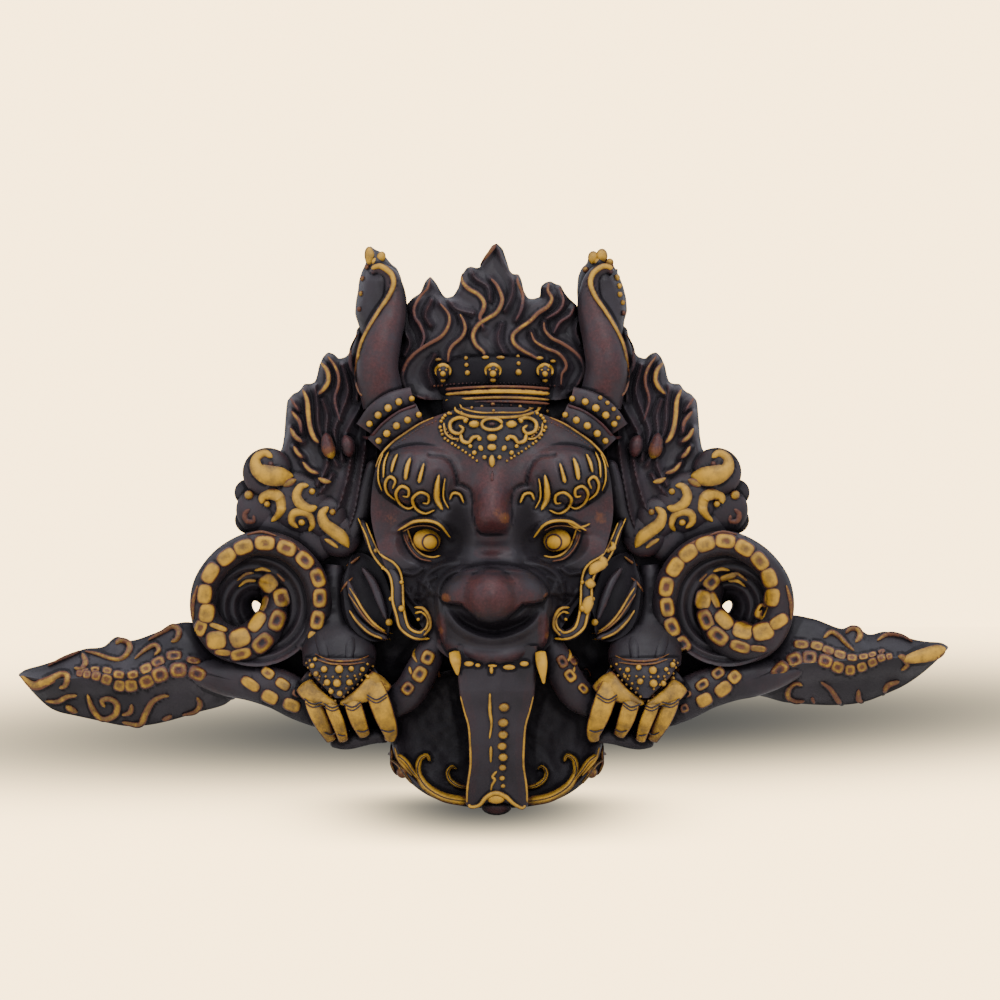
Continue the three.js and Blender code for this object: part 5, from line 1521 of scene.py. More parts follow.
TAIL_SCALES = {
    LEFT: [
        [[105.6, -106, 2.4, 1.6, 0.6, 0.5], [111.6, -101.6, 3.3, 2.6, 0.8, 0.7],
         [118, -97.6, 3.4, 2.5, 0.9, 0.6], [125.6, -96.2, 3.3, 2.7, 0.9, 0.6],
         [133, -98, 3.2, 2.7, 0.95, 0.4], [138.4, -100.8, 3, 2.4, 0.95, 0.1],
          [144.8, -102.4, 2.6, 2.4, 1, 0], [149.4, -102.4, 2.3, 2.2, 1, 0],
         [154.6, -100, 2.2, 2, 0.95, 0], [158.8, -98.6, 1.9, 1.7, 0.9, 0], [162.6, -98, 1.6, 1.5, 0.9, 0],
          [165.6, -97.6, 1.3, 1.2, 0.7, 0]],
        [[119.6, -92.4, 2.8, 1.3, 0.8, 0], [127.6, -90.4, 3, 1.8, 0.85, 0.3],
         [134, -93, 2.7, 1.8, 0.9, 0.2], [138.8, -95.6, 2.4, 1.8, 0.95, 0],
         [144, -98, 2.2, 1.5, 0.95, 0], [149.6, -98, 2.2, 1.5, 0.95, 0], [154.4, -96.4, 1.9, 1.2, 0.95, 0],
          [159.4, -96, 1.8, 1.1, 0.9, 0], [163.4, -96.6, 1.4, 0.9, 0.8, 0]],
    ],
    RIGHT: [
        [[108.6, -103.4, 2.8, 1.7, 0.6, 0.5], [115.2, -96, 3.6, 2.4, 0.9, 0.5],
         [121.2, -92, 3.1, 2.5, 0.9, 0.6], [127.2, -91.2, 2.9, 2.5, 0.85, 0.6],
         [133.6, -92.6, 2.8, 2.3, 0.9, 0.5], [138.6, -95, 2.5, 2.1, 1, 0.1],
          [143.6, -96.2, 2.1, 2, 0.95, 0], [148.4, -95, 2, 1.8, 1, 0],
         [152.6, -93.2, 1.9, 1.6, 1, 0], [156.2, -91.4, 1.7, 1.4, 0.95, 0],
          [159.4, -90.8, 1.3, 1.2, 0.8, 0]],
        [[124.2, -86, 3, 1.7, 0.9, 0], [130.4, -86.6, 2.6, 1.7, 1, 0], [135, -88.4, 2.5, 1.6, 1, 0],
         [139.6, -90, 2.4, 1.6, 0.95, 0], [144.4, -91.2, 2, 1.3, 0.95, 0],
         [149, -90.8, 1.9, 1.1, 0.9, 0], [152.6, -90, 1.6, 1, 0.9, 0], [156.4, -88.8, 1.4, 0.8, 0.8, 0]],
    ],
}
TAIL_CURLS = {
    LEFT: [
        [[[189.4, -98.8], [184, -102.4], [178.6, -100.8], [173.4, -98.2], [170.6, -98.8], [171.4, -102.4],
         [174, -103.6]], [0.8, 2.2, 2, 1.6, 1.5, 1.2, 0.8], 1.0],
        [[[179, -94.8], [172, -91.6], [165.6, -88.8]], [0.5, 1.0, 0.6], 0.8],
        [[[165, -89.6], [163.4, -93.4], [165, -96], [168, -95.4]], [0.8, 1.4, 1.2, 0.8], 0.9],
        [[[164, -88.8], [158.8, -90], [153, -91.8], [148.8, -91.8], [146, -88.8], [146.4, -85.8],
         [149.6, -84.6], [151.4, -86]], [0.5, 0.9, 1, 1.2, 1.4, 1.5, 1.4, 1], 0.95],
        [[[143.6, -91.8], [139, -88], [135.4, -86.4], [133.8, -88.4], [135.6, -90.4]],
         [0.5, 1.1, 1.2, 1.1, 0.7], 0.9],
        [[[138.4, -84.4], [132.6, -81.2], [128.4, -79], [126, -80.6], [126.4, -83.8], [129, -85]],
         [0.6, 1.1, 1.4, 1.4, 1.3, 0.8], 0.9],
        [[[180, -109], [174.8, -109], [170.8, -107], [166.8, -106.6]], [0.6, 1.2, 1.2, 0.8], 0.95],
        [[[171.6, -110.8], [167, -113.6]], [1.6, 1.4], 0.95],
        [[[162.6, -106], [161, -111.4], [158, -115.6], [154.8, -116], [151.4, -114], [150.8, -110],
         [153.8, -107.8], [156.8, -108.6], [155.8, -111.4]], [0.6, 1.3, 1.4, 1.4, 1.5, 1.4, 1.3, 1.2, 0.9],
          1.0],
        [[[149, -114.6], [145.6, -113.2], [144.8, -110]], [0.6, 1.3, 0.7], 0.9],
        [[[149, -117.4], [142, -118.4], [139.4, -114], [136.6, -109.2], [132.6, -106.8], [129.6, -106.8]],
         [0.8, 1.5, 1.5, 1.3, 1.1, 0.6], 0.95],
        [[[132.8, -116.6], [128.8, -114.8]], [1.2, 1.1], 0.8],
        [[[124.8, -114.6], [119.6, -113.2], [117.4, -110], [118.6, -107.2]], [0.6, 1.3, 1.3, 0.7], 0.9],
    ],
    RIGHT: [
        [[[133.2, -83.4], [136.4, -81.2], [139.6, -83], [142.4, -86], [145.4, -88.6]],
         [0.7, 1.2, 1.2, 1, 0.5], 0.9],
        [[[142.2, -81.6], [144.4, -79.8], [147.2, -80.2], [148, -82.8], [146, -85.2]],
         [0.7, 1.3, 1.5, 1.4, 0.8], 0.95],
        [[[154.8, -84.6], [159.2, -82.2], [164.4, -82.8], [169.4, -85]], [0.5, 1.2, 1.2, 0.6], 0.85],
        [[[125.8, -109], [122, -109], [119, -107], [119.4, -103.4], [122, -101.4], [124.6, -102.6]],
         [0.8, 1.3, 1.3, 1.3, 1.2, 0.8], 0.9],
        [[[128.6, -107.4], [129.8, -110]], [0.9, 0.7], 0.6],
        [[[132, -101], [136, -104], [139.2, -108.6], [141.6, -110.8]], [0.6, 1, 1.2, 0.9], 0.75],
        [[[147.4, -104.2], [147.6, -108.2], [149.8, -109.6]], [0.7, 1.3, 0.8], 0.8],
        [[[157.4, -107], [159.2, -102.6], [164, -101]], [0.7, 1.4, 0.9], 0.8],
        [[[163, -90.8], [165, -91.2], [166.8, -94], [164.4, -96.6]], [0.9, 1.3, 1.2, 0.8], 0.9],
        [[[165, -92.4], [171, -91], [177, -89.6], [182.4, -87.8]], [1.6, 2.8, 3.3, 2.6], 1.5],
    ],
}


def model_tails():
    """A leaf round its rib. Across it the relief falls from the rib to the rim as (1 - u)^0.85, with a low
    swell along the rib and a trough on each side; rows of scales run along the rib and gilt curls lie on
    both sides."""
    clay = Clay()
    stations, columns = 230, 61
    line, t = route(TAIL_RIB, 0.36)
    pick = np.linspace(0, len(t) - 1, stations).astype(int)
    line, t = line[pick], t[pick]
    for side in SIDES:
        turn, stretch = TAIL_TURN[side]
        u = np.sin(np.linspace(-np.pi / 2, np.pi / 2, columns))[None, :]
        above, below = smooth(TAIL_ABOVE[side], t)[:, None], smooth(TAIL_BELOW[side], t)[:, None]
        offset = np.where(u > 0, above, below) * u
        rim = (TAIL_EDGE * (1 - 0.5 * t))[:, None]
        crest = line[:, 2:3]
        relief = rim + (crest - rim) * (1 - np.abs(u)) ** 0.85
        swell = 1.4 * np.exp(-((offset + 3) / 4.5) ** 2)
        trough = 1.2 * np.exp(-((np.abs(offset) - 9) / 2.4) ** 2)
        relief += swell - trough * (1 - np.abs(u))
        dx, dz = (line[:, :1] - TAIL_RIB[0][0]) * stretch, line[:, 1:2] + offset - TAIL_RIB[0][1]
        c, s = math.cos(math.radians(turn)), math.sin(math.radians(turn))
        x = side * (TAIL_RIB[0][0] + dx * c - dz * s)
        z = TAIL_RIB[0][1] + dx * s + dz * c
        front.press(np.stack([x, z, relief], -1))
        # A little painted shade over the whole leaf, as a rub below 0
        clay.add(footed(x, z, relief, np.full((stations, 1), BACK)), 0.0, -0.1)
        for row in TAIL_SCALES[side]:
            fuller = [[x, z, 1.15 * long, 1.2 * wide, 0.74 * gold, dimple + 0.2] for x, z, long, wide, gold,
                dimple in row]
            scale_row(clay, fuller, side=side, height=0.9, rub=0.6)
        for path, half, gold in TAIL_CURLS[side]:
            wire(clay, path, half, side=side, lift=0.3, gold=0.62 * gold, rub=0.6, tall=0.7, span=5)
    return clay.cast("tails")


# Serpents' bodies between mouth, hand and tail

BELLY = [[57, -112.4, 40], [66, -111.6, 41], [76, -108.4, 40], [86, -103.6, 38], [96, -100.6, 35],
    [106, -99, 32.4], [116, -97.6, 30], [126, -96, 27]]
MOUTH_SNAKE = [[22.6, -84, 50], [27, -94, 50], [33, -104.6, 48], [41, -110, 45]]
BELLY_SCALES = {
    LEFT: [
        [[89.6, -97.2, 3.1, 2.3, 0.9, 0.3], [83.6, -101.6, 3.4, 2.3, 0.95, 0.1],
         [77.6, -105.2, 2.4, 2, 0.6, 0.5]],
        [[96.6, -101.6, 4.6, 2.4, 0.9, 0.1], [88.8, -106.8, 3.8, 2.9, 1, 0.1], [80, -110, 4, 2.8, 1, 0.15]],
    ],
    RIGHT: [
        [[90.4, -97.2, 3, 2.4, 0.75, 0.6], [84, -101.8, 3.2, 2.2, 0.8, 0.6],
         [77.6, -105.4, 2.2, 1.9, 0.6, 0.5]],
        [[97, -98.8, 3, 2.8, 0.95, 0.3], [92.4, -103.6, 4, 3, 1, 0.1], [84.8, -108, 3.6, 3, 1, 0.1],
         [76.8, -111.2, 2, 2, 0.6, 0.6]],
    ],
}
MOUTH_SCALES = {
    LEFT: [[[25.6, -90.8, 3.2, 2.9, 0.9, 0.8], [28.8, -97.4, 3.6, 3, 1, 0.5],
        [33.6, -103.2, 2.9, 2.6, 0.7, 0.9]]],
    RIGHT: [[[28, -92.4, 3, 2.2, 0.6, 0.9], [31.2, -98, 3, 2.4, 0.9, 0.8],
    [36.4, -103.2, 2.6, 1.8, 0.8, 0.5]], [[32.6, -92, 2.4, 1.7, 0.6, 0.6],
     [37.6, -97.6, 2.5, 2.1, 0.85, 0.7], [40.6, -102, 2.2, 1.6, 0.6, 0.7]]],
}


def model_bodies():
    """Each serpent's body in two rounded lengths, into the hand and out of it, with its scales."""
    clay = Clay()
    for side in SIDES:
        sweep(clay, MOUTH_SNAKE, [5, 6.4, 6.6, 6], 5.4, side=side, step=0.8, rub=0.2)
        sweep(clay, BELLY, [6, 8, 8.2, 8.2, 8, 7.6, 5.4, 1.6], 7, side=side, step=0.8, rub=0.2, ends=4)
        for row in BELLY_SCALES[side] + MOUTH_SCALES[side]:
            scale_row(clay, row, side=side)
        for path in ([[30.6, -87.4], [31.2, -90], [29.8, -92.8]], [[33, -94.4], [32, -97.8]],
                [[22.4, -95], [21.2, -99], [24, -103.4]]):
            wire(clay, path, [0.4, 0.8, 0.4], side=side, lift=0.2, gold=0.75, rub=0.4)
    return clay.cast("serpent_bodies")


# Hands

FINGERS = [
    [[[72, -105.6, 50], [70.6, -110.6, 52], [67.6, -117, 51], [63.6, -124.4, 44]], [3, 3.3, 3.2, 2.2]],
    [[[64.6, -107.6, 53], [63.4, -111.6, 54.6], [61, -117.6, 53], [59, -124.6, 46]], [2.4, 2.7, 2.6, 1.9]],
    [[[56.4, -106.6, 54], [55, -110.6, 56], [53, -116.6, 54.6], [50.4, -122.6, 48]], [2.8, 3.4, 3.2, 2.1]],
    [[[47.6, -100.6, 53], [45.4, -106.6, 56], [42.8, -114, 55.6], [40.6, -120.6, 51], [41, -124.6, 46]],
     [3.6, 4.2, 4, 3, 1.8]],
]
KNUCKLES = [
    [[75, -107], [71.6, -109.2], [67.4, -108.4]], [[67.2, -109], [63.6, -110.6], [60.6, -109.6]],
    [[59.4, -109], [55.4, -110.4], [52, -108.2]], [[50, -105.4], [46, -107.4], [41.6, -105]],
]
NAILS = [[[66.8, -120.6], [64.4, -121.6], [62.4, -120.8]], [[61.6, -121.4], [59.4, -122], [57.4, -121.4]],
         [[54, -119.8], [51.4, -120.4], [49, -119.4]], [[44.4, -119.4], [41.2, -120.4], [38.6, -119.6]]]
CUFF_BEADS = {
    LEFT: [[71.6, -94, 1.4], [70, -97.2, 1.6], [66.8, -95.4, 1.9], [60.8, -95.4, 2.3], [56, -95.2, 1.6],
        [51.6, -95.4, 1.4], [65.6, -100.6, 1.9], [61.6, -100.8, 2.3],
           [56.8, -100.6, 1.8], [64, -104.2, 1.5], [60.6, -105, 1.7], [70.4, -91.4, 1.2],
            [72.4, -97.8, 1.1], [49.4, -98.4, 1.1]],
    RIGHT: [[54, -95.6, 1.5], [58.4, -94.6, 1.6], [64, -95.8, 2.3], [72, -93.6, 1.6], [74.6, -96.2, 1.3],
    [59, -100.2, 1.8], [64.2, -101, 2.3], [68.2, -101, 1.7],
            [72, -99.2, 1.4], [64, -106, 1.6], [53, -98.2, 1.1], [69.4, -95.4, 1.2]],
}


def model_hands():
    """Four gilt fingers closed over the serpent, a gilt back to the hand, and a dark cuff set with
    beads."""
    clay = Clay()
    for side in SIDES:
        sweep(clay, [[63, -54, 27], [64, -66, 31], [64, -76, 37], [62.6, -84, 45], [60.8, -92, 50],
            [60.6, -98, 50]], [5, 8, 11, 13.6, 14.6, 11], 9, side=side, step=0.9, rub=0.1)
        for fold in ([[70, -78, 36], [68, -85, 44.6], [66, -92, 50.4]],
                [[57, -78, 38], [56.6, -85, 46.4], [57, -92, 51.4]]):
            sweep(clay, fold, [1.4, 2.4, 1.6], 1.4, side=side, deep=5, step=0.7)
        sweep(clay, [[75, -98, 41], [67, -104, 48], [57, -105.4, 50], [45, -98, 45]], [4.6, 6, 6, 5], 8,
            side=side, step=0.8)
        sweep(clay, [[75.4, -101, 48], [72.4, -104.6, 51], [67, -107.6, 53.4], [61.6, -109.4, 54.4]],
            [4, 4, 2.6, 1], 2.2,
              side=side, deep=9, gold=[0.6, 0.76, 0.76, 0.62], step=0.6, ends=1.5, rub=0.8)
        sweep(clay, [[43.4, -98.6, 50], [46.4, -102, 53.4], [52.6, -106, 55.2], [60.6, -109.2, 54.8]],
            [5, 5.2, 3.2, 1], 2.4,
              side=side, deep=9, gold=[0.6, 0.76, 0.76, 0.62], step=0.6, ends=1.5, rub=0.8)
        for path, half in FINGERS:
            sweep(clay, path, half, [1.6, 2, 2, 1.6], side=side, step=0.5, gold=[0.7, 0.82, 0.76, 0.56],
                ends=1.2, rub=0.8)
        for path in KNUCKLES + NAILS:
            wire(clay, path, 0.35, side=side, lift=0.25, gold=0.0, span=3)
        for path in KNUCKLES:
            wire(clay, [[x, z - 1.3] for x, z in path], 0.3, side=side, lift=0.2, gold=0.1, span=3)
        sweep(clay, [[61, -91, 52.5], [61, -98, 55], [61, -106.8, 55.6]], [13.6, 10.4, 1.6], [7, 5, 2],
            side=side, deep=6, step=0.8)
        for x, z, r in CUFF_BEADS[side]:
            bead(clay, x, z, 0.78 * r, side=side, lift=0.4, gold=0.85, rub=0.5)
        for hem in ([[70.6, -89.4], [66, -91.4], [60, -92.2], [53, -91.6], [49, -90]],
                [[70, -91.4], [64, -93.2], [57, -93.4], [50.6, -92.6]]):
            wire(clay, hem, [0.2, 0.5, 0.5, 0.2], side=side, lift=0.3, gold=0.5, rub=0.6)
        for path, count in (([[74, -93], [71, -99.4], [66, -104.4], [62.4, -108]], 9),
                ([[47.6, -94.4], [52, -100], [57.4, -104.6], [60.8, -108]], 9),
                            ([[72.6, -92], [69, -99.4], [64.4, -103.2]], 6),
                             ([[49.6, -93.4], [54, -99.2], [58, -103]], 6),
                            ([[68.6, -98.2], [62, -98.4], [54.6, -98]], 6)):
            row_of_beads(clay, path, count, 0.6, side=side, lift=0.3, gold=0.65, rub=0.5, around=8, up=4)
        sweep(clay, [[65, -123.6, 38], [58, -124.4, 40], [48, -122.4, 41], [41, -122.6, 40]],
            [3, 3.4, 3.2, 2.6], 4, side=side, step=1.0, ends=2)
    return clay.cast("hands")


# Lower jaw

JAW = {"z": -118, "half_width": 42.6, "down": 33.4, "up": 24, "power": 2.5}
JAW_PROFILE = [[0, 24], [0.3, 24.2], [0.55, 25], [0.75, 27], [0.88, 29.5], [0.94, 33], [0.975, 33.6],
    [1, 30]]
JAW_CURLS = [
    # route, half-width of the welt, gilt
    [[[8, -148.4], [15, -148.2], [22, -146.6], [28.4, -142.6], [31.6, -137.4], [31, -132.2], [28.2, -130.4],
     [26.8, -132.8]],
     [1.8, 2.1, 2.1, 1.9, 1.6, 1.3, 1.1, 0.6], 0.95],
    [[[9, -143], [14.6, -142.8], [18.6, -140.4], [19.8, -137.2], [18, -134.8], [16, -136]],
     [0.8, 1.1, 1.1, 0.9, 0.7, 0.4], 0.9],
    [[[31, -140], [34, -136.4], [37.2, -132.2], [41.4, -129.6], [44, -130.4]], [0.6, 1.2, 1.4, 1.1, 0.5],
     0.9],
    [[[34, -141.6], [36.8, -138], [39.6, -134], [42.8, -131.8]], [0.4, 0.7, 0.8, 0.5], 0.7],
]


JAW_CORNER = [
    [[42.6, -126], [42, -130], [42.2, -134], [40.4, -138]],
    [[41, -127], [39.6, -131.4], [36.6, -135.4], [34, -138.4]],
]


def model_jaw():
    """A bowl in rings of a superellipse. Its relief is a smooth profile from the sunk floor to the rim,
    with a stony grain on the floor."""
    clay = Clay()
    a = full_turn(200)
    share = np.concatenate([np.linspace(0.02, 0.8, 34), np.linspace(0.83, 1, 18)])[:, None]
    c, s = squared(a, JAW["power"])
    x = LOWER_SHIFT + share * JAW["half_width"] * c
    z = JAW["z"] + share * np.where(s > 0, JAW["up"], JAW["down"]) * s
    stone = sizes().stone / MM
    rough = stone * (grain(x, z, 5.5) + 0.6 * grain(x + 40, z, 2.6) + 0.3 * grain(x, z + 90, 1.3))
    relief = smooth(JAW_PROFILE, share) + 0.45 * rough * (1 - ease(0.8, 0.95, share)) + 0 * a
    rings = np.stack([x, z, relief], -1)
    front.press(rings)
    foot = rings[-1:].copy()
    foot[..., 2] = BACK
    # Painted shade over the bowl's floor, as a rub below 0, fading out towards the rim
    bowl_shade_share = np.concatenate([share, share[-1:]])
    clay.add(np.concatenate([rings, foot]), 0.0, -0.25 * (1 - ease(0.7, 0.95, bowl_shade_share)))
    for side in SIDES:
        shift = LOWER_SHIFT * side
        corner = [[40.6 + shift, -122, 24], [40.4 + shift, -129, 27.6], [39.4 + shift, -134.4, 29],
            [37.2 + shift, -137.6, 29]]
        sweep(clay, corner, [1.6, 2.6, 3.2, 2.8], 3.4, side=side, step=0.6, ends=2)
        bead(clay, 37.8 + shift, -137, 2.4, side=side, tall=1.1, lift=0.2, gold=0.5, rub=1.0, around=16,
            up=10)
        for path in JAW_CORNER:
            wire(clay, [[x + shift, z] for x, z in path], [0.3, 0.7, 0.7, 0.3], side=side, lift=0.3,
                gold=0.75, rub=0.6, span=3)
        for path, half, gold in JAW_CURLS:
            shifted = [[px + shift, pz] for px, pz in path]
            wire(clay, shifted, half, side=side, lift=1.2, gold=gold, rub=0.3, tall=1.2, span=11)
            wire(clay, shifted, [0.1, 0.22, 0.22, 0.1], side=side, lift=1.3 + 1.1 * max(half), gold=0.0,
                span=11)
    return clay.cast("jaw")


# Tongue

TONGUE = [[2, -86, 63], [2, -104, 62], [2, -122, 57], [2, -138, 52], [2, -150, 49.4]]
TONGUE_TOP, TONGUE_END = -86, -150
TONGUE_THICK = 7
TONGUE_HEM = [
    # share of the half-width, height of the hem
    [-1, -149.6], [-0.86, -150.4], [-0.6, -149], [-0.3, -145.6], [0, -144], [0.3, -145.8], [0.6, -149],
     [0.86, -150.8],
    [1, -150]]
TONGUE_HALF = [[-86, 16], [-100, 15.4], [-108, 14.4], [-118, 11.6], [-128, 10.9], [-136, 11], [-142, 12],
    [-150, 12.4]]


def model_tongue():
    """A long slab, narrow at its waist, with a shallow trough down its middle, gilt edges and a row of
    beads."""
    clay = Clay()
    rows, columns = 130, 45
    z = np.linspace(TONGUE_TOP, TONGUE_END, rows)[:, None]
    u = np.linspace(-1, 1, columns)[None, :]
    half = smooth(TONGUE_HALF, z)
    x = LOWER_SHIFT + half * u
    end = np.interp(u, *np.transpose(TONGUE_HEM))
    z_here = TONGUE_TOP + (z - TONGUE_TOP) * (end - TONGUE_TOP) / (TONGUE_END - TONGUE_TOP)
    crest = np.interp(-z_here, [-p[1] for p in TONGUE], [p[2] for p in TONGUE])
    relief = crest - 1.6 * (1 - np.abs(u) ** 2.2) + 0.9 * np.exp(-(u / 0.16) ** 2) - 1.4 * ease(0.93, 1,
        np.abs(u))
    front.press(np.stack([x, z_here, relief], -1))
    clay.add(footed(x, z_here, relief, relief[:, :1] - TONGUE_THICK), 0.0, 0.12)
    sweep(clay, [[2, -88, 52], [2, -120, 46], [2, -143, 42]], [12, 8, 8], 4, step=1.2, press=False)
    for side in SIDES:
        edge = [[LOWER_SHIFT + side * (float(smooth(TONGUE_HALF, np.array(zz))) - 0.3), zz] for zz in (-106,
            -112, -118, -126, -134, -142, -148.6)]
        wire(clay, edge, [0.35, 0.5, 0.55, 0.5], lift=0.0, gold=0.75, rub=0.3, span=5)
    hem = [[-9.4, -148.8], [-8.4, -150.4], [-5, -149.6], [-2.4, -146.6], [1.4, -144.8], [5.4, -146.2],
        [8.6, -149], [12, -150.8], [13.6, -149.4]]
    wire(clay, hem, [0.6, 0.75, 0.8, 1.0, 1.1, 1.0, 0.8, 0.75, 0.6],
        relief=[48.4, 48.6, 49.2, 50, 49.2, 48.6, 48.4], gold=0.9, rub=0.3)
    bead(clay, 1.6, -146.8, 2.4, long=1.6, tall=0.9, relief=48.6, gold=1, rub=0.4, around=16, up=8)
    bead(clay, 1.8, -150.4, 3.6, long=1.7, tall=1.8, relief=39.5, gold=0.1, rub=0.6, around=18, up=8)
    for path in ([[-0.8, -104.8], [-0.8, -112], [-0.2, -117], [-1.0, -123]], [[-0.4, -126], [-0.5, -132.6]],
                 [[2, -136], [0.2, -138.2], [1.2, -139.4], [0, -141.6], [-0.4, -144]]):
        wire(clay, path, [0.5, 0.75, 0.6, 0.4], lift=0.15, gold=0.9, rub=0.3, span=3)
    for x, zz, r in ((4.8, -110.4, 2.1), (4.4, -116.6, 2.1), (4.4, -121.4, 2.0), (4, -126, 1.9),
            (4.4, -130.4, 1.9), (4.2, -134.6, 1.5), (4, -138.8, 1.2), (4.4, -142, 1.0)):
        bead(clay, x, zz, 0.9 * r, long=1.2, lift=0.2, gold=0.8, rub=0.7, tall=0.8)
    return clay.cast("tongue")


# Ground and back

GROUND = [
    [0, 44], [20, 44], [34, 40], [46, 32], [56, 22], [68, 8], [78, -8], [86, -22], [88, -36], [88, -48],
     [86, -60], [86, -70], [88, -80],
    [94, -88], [98, -93], [99, -99], [90, -103], [80, -108], [72, -112], [60, -120], [44, -122], [30, -132],
     [0, -139]]


def model_ground():
    """The plain ground behind the forms, as a ring round the hollow: from the hollow's rim out to its
    outline."""
    clay = Clay()
    half = np.array(GROUND, float)
    outline = np.vstack([half, (half * [-1, 1])[::-1][1:]])
    edge, _ = route(outline, 1.0)
    angle = np.arctan2(edge[:, 1] - HOLLOW["z"], edge[:, 0])
    order = np.argsort(angle)
    a = np.linspace(-np.pi, np.pi, 361)[:-1]
    reach = np.interp(a, angle[order], np.hypot(edge[:, 0], edge[:, 1] - HOLLOW["z"])[order],
        period=2 * np.pi)
    inner = hollow_reach(np.cos(a), np.sin(a))
    share = np.linspace(0, 1, 40)[:, None]
    radius = inner + (reach - inner) * share
    x, z = radius * np.cos(a), HOLLOW["z"] + radius * np.sin(a)
    rough = sizes().stone / MM * (grain(x, z, 6) + 0.5 * grain(x, z + 50, 2.4))
    relief = 27 - 12 * share**2 + rough
    top = np.stack([x, z, relief], -1)
    front.press(top)
    floor = top[[-1, 0]].copy()
    floor[..., 2] = BACK
    # Painted shade over the whole ground, as a rub below 0
    closed_ring(clay, np.concatenate([top, floor]), 0.0, -0.5)
    return clay.cast("ground")


# Finish

# In mm: cell of the map, the two reaches that are compared, and the depth under the front that counts as
# front
AGEING = {"cell": 0.35, "fine": 1.2, "broad": 4.5, "skin": 1.5}
# How strongly each marks a point, and the mm under or over the mean relief between which it grows: near,
# far
SUNK_STEPS = ((0.75, 0.05, 0.5), (0.45, 0.6, 3.0))
PROUD_STEPS = ((0.7, 0.05, 0.5), (0.5, 0.6, 2.6))


def marked(steps, *gaps):
    """Sum over the gaps of a weight times an S-curve from its low to its high end."""
    return sum(weight * ease(low, high, gap) for (weight, low, high), gap in zip(steps, gaps))


def age_casting():
    """Marks where the dark wash stays and where it is rubbed off. "sunk" grows with how far a point lies
    under the mean relief around it, near by and further off, and with the painted shade of a rub below 0;
    "proud" grows with how far it lies above it."""
    skyline = Front(AGEING["cell"])
    shapes = []
    for piece in castings:
        mesh = piece.data
        flat = np.empty(3 * len(mesh.vertices), np.float32)
        mesh.vertices.foreach_get("co", flat)
        points = flat.reshape(-1, 3)[:, [0, 2, 1]].astype(float) * [1, 1, -1] / MM
        mesh.calc_loop_triangles()
        faces = np.empty(3 * len(mesh.loop_triangles), np.int32)
        mesh.loop_triangles.foreach_get("vertices", faces)
        skyline.press_faces(points, faces.reshape(-1, 3))
        shapes.append((mesh, points))
    fine, broad = skyline.mean(AGEING["fine"]), skyline.mean(AGEING["broad"])
    for mesh, points in shapes:
        x, z, own = points.T
        top = skyline.at(x, z)
        relief = np.where(own > top - AGEING["skin"], top, own)
        near, far = fine.at(x, z) - relief, broad.at(x, z) - relief
        rub = np.empty(len(points), np.float32)
        mesh.attributes["rub"].data.foreach_get("value", rub)
        # A rub below 0 is painted shade, and adds to "sunk" so that the dark wash lays it on
        sunk = marked(SUNK_STEPS, near, far) + np.maximum(-rub, 0)
        proud = marked(PROUD_STEPS, -near, -far)
        for label, values in (("sunk", sunk), ("proud", proud)):
            layer = mesh.attributes.new(label, "FLOAT", "POINT")
            layer.data.foreach_set("value", np.clip(values, 0, 1).astype(np.float32))


# Noise in the paint: scale, detail and, for the finest, roughness
CLOUDS, PATCHES, SPECKS = (38, 3), (210, 4), (900, 5, 0.65)
BUMP = {"strength": 0.35, "distance": 0.00025}
# How much standing proud shows the red-brown, how much lying sunk hides it, and the wash in the hollows,
# which also lays the painted shade
WASH = {"proud": 0.3, "sunk": 0.5, "cover": 0.75, "darkest": 0.38}
# What breaks up the edge of the gold, and how much lying sunk or standing proud moves it
GILDING = {"ragged": 0.5, "uneven": 0.35, "patchy": 0.9, "sunk": 0.4, "edge proud": 0.12,
    "thick proud": 0.15}
GLOSS = {"open to sunk": (0.34, 0.1), "more on gold": 0.12}


class Wiring:
    """Short ways to add shader nodes to a tree."""

    def __init__(self, tree):
        self.nodes, self.links = tree.nodes, tree.links

    def put(self, socket, value):
        if hasattr(value, "links"):
            self.links.new(value, socket)
        else:
            socket.default_value = value

    def maths(self, kind, *values):
        node = self.nodes.new("ShaderNodeMath")
        node.operation = kind
        for socket, value in zip(node.inputs, values):
            self.put(socket, value)
        return node.outputs[0]

    def ease(self, value, low, high, to_low=0.0, to_high=1.0):
        """An S-curve from to_low at low up to to_high at high."""
        node = self.nodes.new("ShaderNodeMapRange")
        node.interpolation_type = "SMOOTHSTEP"
        for name, amount in (("Value", value), ("From Min", low), ("From Max", high), ("To Min", to_low),
                ("To Max", to_high)):
            self.put(node.inputs[name], amount)
        return node.outputs[0]

    def mixed(self, factor, a, b):
        node = self.nodes.new("ShaderNodeMix")
        node.data_type = "RGBA"
        for socket, value in zip((node.inputs[0], node.inputs[6], node.inputs[7]), (factor, a, b)):
            self.put(socket, value)
        return node.outputs[2]

    def noise(self, place_on, scale, detail, rough=0.55):
        node = self.nodes.new("ShaderNodeTexNoise")
        for name, value in (("Scale", scale), ("Detail", detail), ("Roughness", rough),
                ("Vector", place_on)):
            self.put(node.inputs[name], value)
        return node.outputs["Fac"]

    def attribute(self, name):
        node = self.nodes.new("ShaderNodeAttribute")
        node.attribute_name = name
        return node.outputs["Fac"]


def tint(colour, factor=1.0):
    """A colour made darker or lighter, with full cover."""
    return tuple(min(1, c * factor) for c in colour) + (1.0,)


